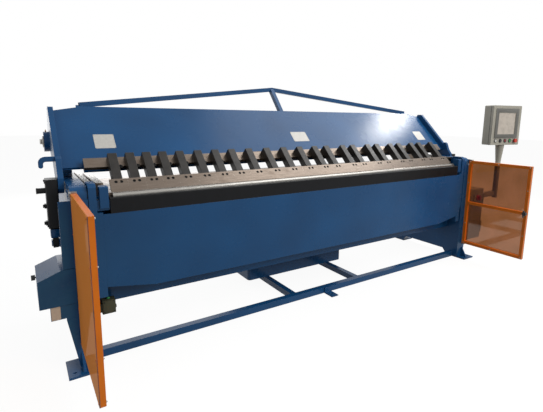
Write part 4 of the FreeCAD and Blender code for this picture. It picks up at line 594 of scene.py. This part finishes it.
class FOLD_OT_stage(bpy.types.Operator):
    """Floor, backdrop, lights and the camera at the photograph's place."""

    bl_idname = "fold.stage"
    bl_label = "Studio and camera"

    def execute(self, context):
        settings = context.scene.fold_stage
        scene = context.scene
        scene.view_settings.view_transform = "Standard"
        data = bpy.data.cameras.new("camera")
        data.sensor_width = 36
        data.lens = settings.lens
        data.shift_y = settings.shift
        data.clip_end = 100
        camera = bpy.data.objects.new("camera", data)
        scene.collection.objects.link(camera)
        turn, tip, roll = settings.turn, settings.tip, settings.roll
        ahead = Vector((math.sin(turn) * math.cos(tip), math.cos(turn) * math.cos(tip), math.sin(tip)))
        right = Vector((math.cos(turn), -math.sin(turn), 0))
        up = right.cross(ahead)
        side = right * math.cos(roll) - up * math.sin(roll)
        top = right * math.sin(roll) + up * math.cos(roll)
        aim = Matrix((side, top, -ahead)).transposed().to_4x4()
        camera.matrix_world = Matrix.Translation(settings.eye) @ aim
        scene.camera = camera

        # The floor lies 2 mm low, so that it never shares a plane with the feet.
        bpy.ops.mesh.primitive_plane_add(size=60, location=(0, 0, -2 * MM))
        floor = context.active_object
        floor.name = "floor"
        made = bpy.data.materials.new("pale_floor")
        tree = empty_tree(made)
        dull = add(tree, "BsdfDiffuse", {"Color": "#858583"})
        glow = add(tree, "Emission", {"Color": "#FFFFFF", "Strength": settings.floor_glow})
        share = add(tree, "Math", {0: seen_rays(tree), 1: settings.floor_share}, operation="MULTIPLY")
        mixed = add(tree, "MixShader", {0: share, 1: dull, 2: glow})
        add(tree, "OutputMaterial", {"Surface": mixed})
        floor.data.materials.append(made)

        world = bpy.data.worlds.new("soft_studio")
        scene.world = world
        tree = empty_tree(world)
        strength = add(tree, "MapRange", {0: seen_rays(tree), 1: 0, 2: 1, 3: settings.sky, 4: 1})
        glow = add(tree, "Background", {"Color": "#FFFFFF", "Strength": strength})
        add(tree, "OutputWorld", {"Surface": glow})

        key = settings.key
        # Each lamp's place, the point it is aimed at, the side of its square and its power.
        lamps = (
            ("key_light", (2.6, -4.8, 4.4), (0.2, 0, 0.8), 4.0, key),
            ("fill_light", (-4.6, -3.0, 3.0), (-1.0, 0, 0.8), 3.0, key * 0.1),
            ("top_light", (2.4, 0.3, 4.6), (0.4, 0.2, 0.8), 3.0, key * 0.28),
            ("back_light", (-0.5, 5.0, 2.8), (0, 0.6, 0.8), 4.0, key * 0.3),
            ("window_light", (3.58, 0.56, 3.33), (1.3, 0.55, 1.37), 0.45, settings.window),
        )
        for name, spot, target, size, power in lamps:
            light = bpy.data.lights.new(name, "AREA")
            light.shape = "SQUARE"
            light.size = size
            light.energy = power
            lamp = bpy.data.objects.new(name, light)
            lamp.location = spot
            lamp.rotation_euler = (Vector(target) - Vector(spot)).to_track_quat("-Z", "Y").to_euler()
            scene.collection.objects.link(lamp)
        return {"FINISHED"}


class FOLD_OT_finishes(bpy.types.Operator):
    """Give each machine part its paint, steel or plastic."""

    bl_idname = "fold.finishes"
    bl_label = "Finishes"

    def execute(self, context):
        for part in frame["record"]["subparts"]:
            node = frame["nodes"][part["node"]]
            node.data.materials.clear()
            node.data.materials.append(finish_of(part["material_slot"]))
        return {"FINISHED"}


class FOLD_OT_blade_screws(bpy.types.Operator):
    """Two sunk cap screws at each finger, which hold the blades."""

    bl_idname = "fold.blade_screws"
    bl_label = "Blade screws"

    def execute(self, context):
        half_gap, up_slope = 15, 69
        pattern = cap_screw(context.scene.fold_fasteners.blade_screw / MM, 6)
        places = [
            sloping(middle + side * half_gap, up_slope, SEAT_DEPTH)
            for middle in finger_middles() for side in (-1, 1)
        ]
        dressed(repeated("blade_screws", pattern, places), "black_steel", "clamp_beam")
        return {"FINISHED"}


class FOLD_OT_finger_cleats(bpy.types.Operator):
    """Cleats that draw the fingers against the lower edge of the clamping rail."""

    bl_idname = "fold.finger_cleats"
    bl_label = "Finger cleats"

    def execute(self, context):
        up_slope = 211
        cleat = block("cleat", (25, -11, 0), (52, 11, 17), 2.5)
        screw = repeated("cleat_screw", cap_screw(13, 8), [standing(at(39, 0, 16.5))])
        pattern = joined("cleat_with_screw", [cleat, screw])
        places = [sloping(middle, up_slope, CLEAT_DEPTH) for middle in finger_middles()]
        dressed(repeated("finger_cleats", pattern, places), "black_steel", "clamp_beam")
        return {"FINISHED"}


class FOLD_OT_blank_plates(bpy.types.Operator):
    """Plain plates without any lettering, three riveted on the clamp beam and one on the left bracket."""

    bl_idname = "fold.blank_plates"
    bl_label = "Blank plates"

    def execute(self, context):
        thickness, rivet_inset = 1.2, 5
        rivets = []
        # Each plate's body, width and height, and its place.
        spots = (
            ("left_plate", "clamp_beam", 122, 116, sloping(-1503, 464)),
            ("middle_plate", "clamp_beam", 155, 104, sloping(28, 473)),
            ("right_plate", "clamp_beam", 122, 116, sloping(1551, 455)),
            ("bracket_label", "frame", 44, 72, standing(at(-1868, -62, 352), (0, -1, 0))),
        )
        for name, body, width, height, place in spots:
            sheet = block(name, (-width / 2, -height / 2, 0), (width / 2, height / 2, thickness), 0)
            shaped(sheet, "EDGE", running(2, 0.1), bevel(5, 3))
            shaped(sheet, "FACE", facing(0, 0, 1), inset(3), push(0, 0, -0.5))
            sheet.data.transform(place)
            dressed(sheet, "white_plastic", body)
            if body == "clamp_beam":
                rivets += [
                    place @ shifted(u * (width / 2 - rivet_inset), v * (height / 2 - rivet_inset), 1.4)
                    for u in (-1, 1) for v in (-1, 1)
                ]
        dressed(repeated("plate_rivets", rivet(5, 1.6), rivets), "machined_steel", "clamp_beam")
        return {"FINISHED"}


class FOLD_OT_guard_fittings(bpy.types.Operator):
    """Screws through the clear sheet of both side guards, cap nuts, hinge covers and the latch's ring."""

    bl_idname = "fold.guard_fittings"
    bl_label = "Guard fittings"

    def execute(self, context):
        size = context.scene.fold_fasteners.guard_screw / MM
        low, high, front, rear = 163.5, BED_TOP + 15.5, -624.5, -87
        latch_height = 567.5
        spots = [(y, z) for z in (low, high) for y in (front, front / 2 + rear / 2, rear)]
        spots += [(y, z) for y in (front, rear) for z in (low + 202, low + 606)]
        for name, side in SIDES:
            body = f"{name}_guard"
            out, into = (side, 0, 0), (-side, 0, 0)
            heads = [standing(at(side * OUTER_WEB, y, z), out) for y, z in spots]
            nuts = [standing(at(side * (OUTER_WEB - GUARD_DEPTH), y, z), into) for y, z in spots]
            dressed(repeated(f"{name}_guard_screws", button_screw(size, 2.6), heads), "orange_paint", body)
            dressed(repeated(f"{name}_guard_nuts", cap_nut(size * 0.8), nuts), "machined_steel", body)
        covers = []
        for name, side in SIDES:
            near, far = sorted((side * (OUTER_WEB + 7.8), side * (OUTER_WEB + 10.6)))
            covers.append(block("hinge_cover", (near, -62.6, BED_TOP - 7), (far, -0.4, BED_TOP + 37.2)))
        dressed(joined("hinge_covers", covers), "blue_paint", "frame")
        ring = rounded(pierced(bar("latch_ring", 3, 16.5, 32), 3.5), 0.6, 1)
        place = standing(at(OUTER_WEB - GUARD_DEPTH, front, latch_height), (-1, 0, 0))
        dressed(repeated("latch_ring", ring, [place]), "machined_steel", "right_guard")
        return {"FINISHED"}


class FOLD_OT_cylinder_fittings(bpy.types.Operator):
    """Gland rings, port plugs, unions, head screws and knuckle covers of the clamp cylinders."""

    bl_idname = "fold.cylinder_fittings"
    bl_label = "Clamp cylinder fittings"

    def execute(self, context):
        # From the cylinder's middle to its block's outer face, its port bosses and its union boss.
        face, boss, union_boss = 30, 41, 66
        cover_low, cover_high = (-22.5, 175.5, 693), (22.5, 234.5, 743.5)
        for name, side in SIDES:
            body = f"{name}_cylinder"
            out = (side, 0, 0)

            def spot(reach, y, z):
                return standing(at(side * (CYLINDER_X + reach), y, z), out)

            gland = rounded(pierced(bar("gland", 6, 25, 32), 10.4), 1, 2)
            gland.data.transform(standing(at(side * CYLINDER_X, CYLINDER_Y, 746)))
            gland.name = f"{name}_gland"
            dressed(gland, "machined_steel", body)
            plugs = [spot(boss, CYLINDER_Y, z) for z in (777, 874)]
            dressed(repeated(f"{name}_port_plugs", cap_screw(19, 7), plugs), "black_steel", body)
            union = rounded(bar("union", 9, 17, 6), 1.2, 1)
            place = spot(union_boss, CYLINDER_Y, 961)
            dressed(repeated(f"{name}_union", union, [place]), "black_steel", body)
            screws = [spot(face, CYLINDER_Y + y, z) for y in (-35, 35) for z in (767, 1011)]
            dressed(repeated(f"{name}_head_screws", cap_screw(13, 6), screws), "black_steel", body)
            low, high = [(side * CYLINDER_X + x, y, z) for x, y, z in (cover_low, cover_high)]
            dressed(block(f"{name}_knuckle_cover", low, high, 3), "blue_paint", f"{name}_rod")
        return {"FINISHED"}


class FOLD_OT_pivot_fittings(bpy.types.Operator):
    """Keeper washers with a bolt on the clamp beam's pivot pins, and grease nipples on its bosses."""

    bl_idname = "fold.pivot_fittings"
    bl_label = "Pivot fittings"

    def execute(self, context):
        pin_face, washer_face, boss_x, boss_top = 1825.4, 1831.4, 1810, 1268.5
        washers, bolts, nipples = [], [], []
        for name, side in SIDES:
            out = (side, 0, 0)
            washers.append(standing(at(side * pin_face, PIVOT_Y, PIVOT_Z), out))
            bolts.append(standing(at(side * washer_face, PIVOT_Y, PIVOT_Z), out))
            nipples.append(standing(at(side * boss_x, PIVOT_Y, boss_top)))
        washer = rounded(bar("keeper_washer", 6, 37, 40), 1.2, 2)
        dressed(repeated("keeper_washers", washer, washers), "machined_steel", "frame")
        bolt = hex_bolt(context.scene.fold_fasteners.pivot_bolt / MM, 12)
        dressed(repeated("keeper_bolts", bolt, bolts), "machined_steel", "frame")
        stem = rounded(bar("stem", 5, 5.5, 6), 0.6, 1)
        tip = bar("tip", 9, 3.4, 14, 2.2)
        tip.data.transform(shifted(0, 0, 4))
        nipple = joined("nipple", [stem, rounded(tip, 0.8, 2, 20)])
        dressed(repeated("grease_nipples", nipple, nipples), "bronze", "clamp_beam")
        return {"FINISHED"}


class FOLD_OT_panel_fittings(bpy.types.Operator):
    """Screen surround, button collars and door gasket of the operator panel."""

    bl_idname = "fold.panel_fittings"
    bl_label = "Operator panel fittings"

    def execute(self, context):
        door_face, button_height, button_step = -55.1, 1162, 68
        surround = block("screen_surround", (-163, -59.4, 1188), (163, -58.05, 1497), 0)
        rounded(pierced(surround, 42, (0, 1, 0)), 0.5, 2)
        surround.data.transform(on_panel(0, 0, 0))
        dressed(surround, "grey_paint", "pendant")
        gasket = block("door_gasket", (-200.8, -27, 1116.2), (200.8, -23, 1527.8), 0)
        shaped(gasket, "EDGE", running(1, 1), bevel(8.3, 1))
        pierced(gasket, 3, (0, 1, 0))
        gasket.data.transform(on_panel(0, 0, 0))
        dressed(gasket, "black_plastic", "pendant")
        collar = rounded(pierced(bar("collar", 3.4, 20.5, 36), 5.6), 0.9, 2)
        places = [
            on_panel(button_step * step, door_face, button_height) @ standing((0, 0, 0), (0, -1, 0))
            for step in (-2, -1, 0, 1, 2)
        ]
        dressed(repeated("button_collars", collar, places), "black_plastic", "pendant")
        return {"FINISHED"}


class FOLD_OT_cabinet_fittings(bpy.types.Operator):
    """Locks of the cabinet door and the ring round its main switch."""

    bl_idname = "fold.cabinet_fittings"
    bl_label = "Cabinet fittings"

    def execute(self, context):
        door_face, switch_face = -0.35, -8.35
        ring = rounded(pierced(bar("switch_ring", 1.6, 31.5, 48), 3.6), 0.4, 1)
        place = standing(at(2058, switch_face, 572), (0, -1, 0))
        dressed(repeated("switch_ring", ring, [place]), "orange_paint", "door")
        locks = [standing(at(1884, door_face, z), (0, -1, 0)) for z in (205, 575)]
        dressed(repeated("door_locks", cap_screw(23, 5), locks), "machined_steel", "door")
        return {"FINISHED"}


class FOLD_OT_slide_strips(bpy.types.Operator):
    """Polished wear strips on the side bars of the bed, with sunk screws."""

    bl_idname = "fold.slide_strips"
    bl_label = "Slide strips"

    def execute(self, context):
        front, rear, thickness = 84, 556, 1.6
        strips, screws = [], []
        for name, side in SIDES:
            for near, far, top in ((1581, 1618, 1000), (1644, 1671, 1008)):
                low, high = sorted((side * near, side * far))
                strips.append(block("strip", (low, front, top), (high, rear, top + thickness), 0.5, 1))
                screws += [standing(at((low + high) / 2, y, top + thickness)) for y in range(110, 540, 105)]
        dressed(joined("slide_strips", strips), "machined_steel", "frame")
        dressed(repeated("strip_screws", rivet(9, 0.8), screws), "black_steel", "frame")
        return {"FINISHED"}


class FOLD_OT_switch_fittings(bpy.types.Operator):
    """Lamp, lid, screws and entry plugs of the bend limit switch."""

    bl_idname = "fold.switch_fittings"
    bl_label = "Limit switch fittings"

    def execute(self, context):
        lamp = rounded(bar("switch_lamp", 10, 10, 28, 9), 2.5, 3)
        dressed(repeated("switch_lamp", lamp, [standing(at(-1600.5, 10, 342))]), "green_plastic", "frame")
        lid_face = -18
        lid = block("switch_lid", (-1633, lid_face, 265), (-1568, -15, 339), 1)
        dressed(lid, "olive_paint", "frame")
        screws = [standing(at(x, lid_face, z), (0, -1, 0)) for x in (-1626, -1575) for z in (272, 332)]
        dressed(repeated("switch_lid_screws", button_screw(8, 2), screws), "black_steel", "frame")
        entries = [standing(at(-1565, 10, 290), (1, 0, 0)), standing(at(-1600, 10, 262), (0, 0, -1))]
        dressed(repeated("switch_entry_plugs", cap_screw(20, 7), entries), "black_plastic", "frame")
        return {"FINISHED"}


class FOLD_OT_hydraulic_unit(bpy.types.Operator):
    """Motor fins, fan cover and lifting eye, valve nuts, and the tank's bolts, level glass and drain."""

    bl_idname = "fold.hydraulic_unit"
    bl_label = "Hydraulic unit"

    def execute(self, context):
        fins = context.scene.fold_unit.fins
        fin = block("fin", (-88, -1.4, 78), (88, 1.4, 92), 0.6, 1)
        # No fins at the top and at the bottom, where the motor's box and feet are.
        turns = [2 * math.pi * number / fins for number in range(fins)]
        turns = [
            turn for turn in turns if abs(math.sin(turn / 2)) > 0.28 and abs(math.cos(turn / 2)) > 0.3
        ]
        places = [shifted(*MOTOR) @ Matrix.Rotation(turn, 4, "X") for turn in turns]
        dressed(repeated("motor_fins", fin, places), "grey_paint", "frame")

        cover = rounded(bar("fan_cover", 52, 90, 40), 9, 3)
        rings = []
        for width, rise in ((4, -2), (6, 2), (6, -2), (6, 2), (6, -2), (8, 2)):
            rings += [inset(width), push(0, 0, rise)]
        shaped(cover, "FACE", facing(0, 0, 1), *rings)
        place = standing(at(-404, *MOTOR[1:]), (-1, 0, 0))
        dressed(repeated("fan_cover", cover, [place]), "grey_paint", "frame")

        bpy.ops.object.select_all(action="DESELECT")
        bpy.ops.mesh.primitive_torus_add(
            major_radius=15 * MM, minor_radius=4.2 * MM, major_segments=28, minor_segments=12,
            rotation=(math.pi / 2, 0, 0), location=at(0, 0, 24),
        )
        loop = added("eye_loop")
        stem = rounded(bar("eye_stem", 8, 11, 20), 1.2, 1)
        eye = joined("lifting_eye", [loop, stem])
        dressed(repeated("lifting_eye", eye, [standing(at(-375, 620, 602))]), "machined_steel", "frame")

        ends = [standing(at(x, y, 532), (0, way, 0)) for x in VALVES_X for y, way in ((530, -1), (710, 1))]
        nut = rounded(bar("coil_nut", 9, 13, 12), 1.4, 1)
        dressed(repeated("coil_nuts", nut, ends), "black_plastic", "frame")
        screws = [standing(at(x + u, y, 556)) for x in VALVES_X for u in (-16, 16) for y in (592, 648)]
        dressed(repeated("valve_screws", cap_screw(9, 5), screws), "black_steel", "frame")

        bolts = [standing(at(x, y, TANK_TOP)) for x in range(-445, 546, 198) for y in (431, 889)]
        bolts += [standing(at(x, y, TANK_TOP)) for x in (-445, 545) for y in (580, 740)]
        bolt = hex_bolt(context.scene.fold_fasteners.lid_bolt / MM, 6)
        dressed(repeated("tank_bolts", bolt, bolts), "machined_steel", "frame")
        gauge = block("level_frame", (-14, 0, -75), (14, 12, 75), 3)
        shaped(gauge, "FACE", facing(0, 1, 0), inset(7), push(0, -5, 0))
        place = standing(at(120, TANK_BACK, 250))
        dressed(repeated("level_frame", gauge, [place]), "black_plastic", "frame")
        tube = rounded(bar("level_glass", 116, 5, 20), 1, 2)
        place = standing(at(120, TANK_BACK + 7.5, 192))
        dressed(repeated("level_glass", tube, [place]), "amber_sheet", "frame")
        place = standing(at(420, TANK_BACK, 78), (0, 1, 0))
        dressed(repeated("drain_plug", hex_bolt(22, 10), [place]), "machined_steel", "frame")
        return {"FINISHED"}


class FOLD_OT_welds(bpy.types.Operator):
    """Weld beads where gussets, floor tubes and truss lugs meet the plates that carry them."""

    bl_idname = "fold.welds"
    bl_label = "Weld beads"

    def execute(self, context):
        radius, pitch, lug_depth = 3.6, 3.4, 112
        runs = {"frame": [], "clamp_beam": []}
        for name, side in SIDES:
            for x in (OUTER_WEB - 12, OUTER_WEB):
                runs["frame"].append((at(side * x, -118, 12), at(side * x, -64, 12)))
            runs["frame"].append((at(side * INNER_WEB, -5, 45), at(side * INNER_WEB, 40, 45)))
            runs["frame"].append((at(side * INNER_WEB, -5, 4), at(side * INNER_WEB, -5, 45)))
            for x in (side * 1582, side * 1626):
                runs["clamp_beam"].append((on_slope(x, 704, lug_depth), on_slope(x, 758, lug_depth)))
        for x in (-293.5, -248.5, 364.5, 409.5):
            runs["frame"].append((at(x, 40, 3), at(x, 40, 44)))
        for body, lines in runs.items():
            bpy.ops.object.select_all(action="DESELECT")
            bpy.ops.mesh.primitive_uv_sphere_add(
                segments=8, ring_count=5, radius=radius * MM, scale=(1, 1, 0.6),
            )
            ripple = added("ripple")
            places = []
            for start, end in lines:
                count = round((end - start).length / MM / pitch)
                places += [
                    standing(start.lerp(end, step / count), end - start) for step in range(count + 1)
                ]
            dressed(repeated(f"{body}_welds", ripple, places), "blue_paint", body, 60)
        return {"FINISHED"}


# Kinds of setting.
def power(name, default, description):
    """The power of a lamp."""
    return FloatProperty(name=name, description=description, default=default, min=0, subtype="POWER")


def angle(name, default, description):
    """An angle of the camera."""
    return FloatProperty(name=name, description=description, default=default, subtype="ANGLE")


def width(name, default, description):
    """The width of a fastener in metres."""
    return FloatProperty(
        name=name, description=description, default=default, min=0.004, unit="LENGTH", subtype="DISTANCE",
    )


def colour(name, code, description):
    """A colour that starts from a hex code."""
    return FloatVectorProperty(
        name=name, description=description, default=linear(code), size=4, min=0, max=1, subtype="COLOR",
    )


class StageSettings(bpy.types.PropertyGroup):
    lens: FloatProperty(name="Lens", description="Focal length", default=26.25, unit="CAMERA")
    shift: FloatProperty(name="Shift", description="Vertical shift of the picture", default=-0.0382)
    eye: FloatVectorProperty(name="Eye", description="Place of the camera", subtype="TRANSLATION",
                             unit="LENGTH", default=(-1.9618, -2.2784, 1.3693))
    turn: angle("Turn", 0.5685, "Turned from +Y to +X")
    tip: angle("Tip", -0.1678, "Tipped up from level")
    roll: angle("Roll", -0.0115, "Roll about the line of sight")
    sky: FloatProperty(name="Sky", description="Strength of the even light", default=0.38, min=0)
    floor_share: FloatProperty(name="Floor share", description="Part of its own white in the seen floor",
                               default=0.6, min=0, max=1, subtype="FACTOR")
    floor_glow: FloatProperty(name="Floor glow", description="Strength of the floor's own white",
                              default=1.55, min=0)
    key: power("Key", 270, "Power of the key light, which the others but one follow")
    window: power("Window", 34, "Power of the light mirrored in the clamp beam")


class ColourSettings(bpy.types.PropertyGroup):
    blue: colour("Blue", "#184C7A", "Enamel of the machine's frame and beams")
    blue_shade: colour("Blue shade", "#16426B", "Darker clouds in the blue enamel")
    orange: colour("Orange", "#DA7216", "Powder coat of the side guards")
    orange_shade: colour("Orange shade", "#C66310", "Darker clouds in the orange coat")
    beige: colour("Beige", "#A09C8F", "Powder coat of the cabinet and the operator panel")
    beige_shade: colour("Beige shade", "#8F8B7F", "Darker clouds in the beige coat")
    amber: colour("Amber", "#8D5A38", "Tint of the clear sheets")
    amber_shade: colour("Amber shade", "#7D4F2C", "Deeper clouds in the clear sheets")


class FastenerSettings(bpy.types.PropertyGroup):
    blade_screw: width("Blade screw", 0.0152, "Head diameter")
    guard_screw: width("Guard screw", 0.0105, "Head diameter")
    lid_bolt: width("Tank bolt", 0.013, "Width across the flats")
    pivot_bolt: width("Pivot bolt", 0.03, "Width across the flats")


class UnitSettings(bpy.types.PropertyGroup):
    fins: IntProperty(name="Fins", description="Places for cooling fins round the motor", default=36, min=8)


SETTINGS = {
    "fold_stage": StageSettings,
    "fold_colours": ColourSettings,
    "fold_fasteners": FastenerSettings,
    "fold_unit": UnitSettings,
}
OPERATORS = (
    FOLD_OT_stage, FOLD_OT_finishes, FOLD_OT_blade_screws, FOLD_OT_finger_cleats, FOLD_OT_blank_plates,
    FOLD_OT_guard_fittings, FOLD_OT_cylinder_fittings, FOLD_OT_pivot_fittings, FOLD_OT_panel_fittings,
    FOLD_OT_cabinet_fittings, FOLD_OT_slide_strips, FOLD_OT_switch_fittings, FOLD_OT_hydraulic_unit,
    FOLD_OT_welds,
)


class FOLD_PT_panel(bpy.types.Panel):
    """Steps that dress the folding machine."""

    bl_idname = "FOLD_PT_panel"
    bl_label = "Folding machine"
    bl_space_type = "VIEW_3D"
    bl_region_type = "UI"
    bl_category = "Folding machine"

    def draw(self, context):
        for operator in OPERATORS:
            self.layout.operator(operator.bl_idname)
        for name, group in SETTINGS.items():
            part = self.layout.box()
            for prop in group.__annotations__:
                part.prop(getattr(context.scene, name), prop)


def register():
    for name, group in SETTINGS.items():
        bpy.utils.register_class(group)
        setattr(bpy.types.Scene, name, PointerProperty(type=group))
    for kind in OPERATORS + (FOLD_PT_panel,):
        bpy.utils.register_class(kind)


def unregister():
    for kind in reversed(OPERATORS + (FOLD_PT_panel,)):
        bpy.utils.unregister_class(kind)
    for name, group in SETTINGS.items():
        delattr(bpy.types.Scene, name)
        bpy.utils.unregister_class(group)


def main():
    register()
    for operator in OPERATORS:
        group, step = operator.bl_idname.split(".")
        getattr(getattr(bpy.ops, group), step)()


if __name__ == "__main__":
    main()
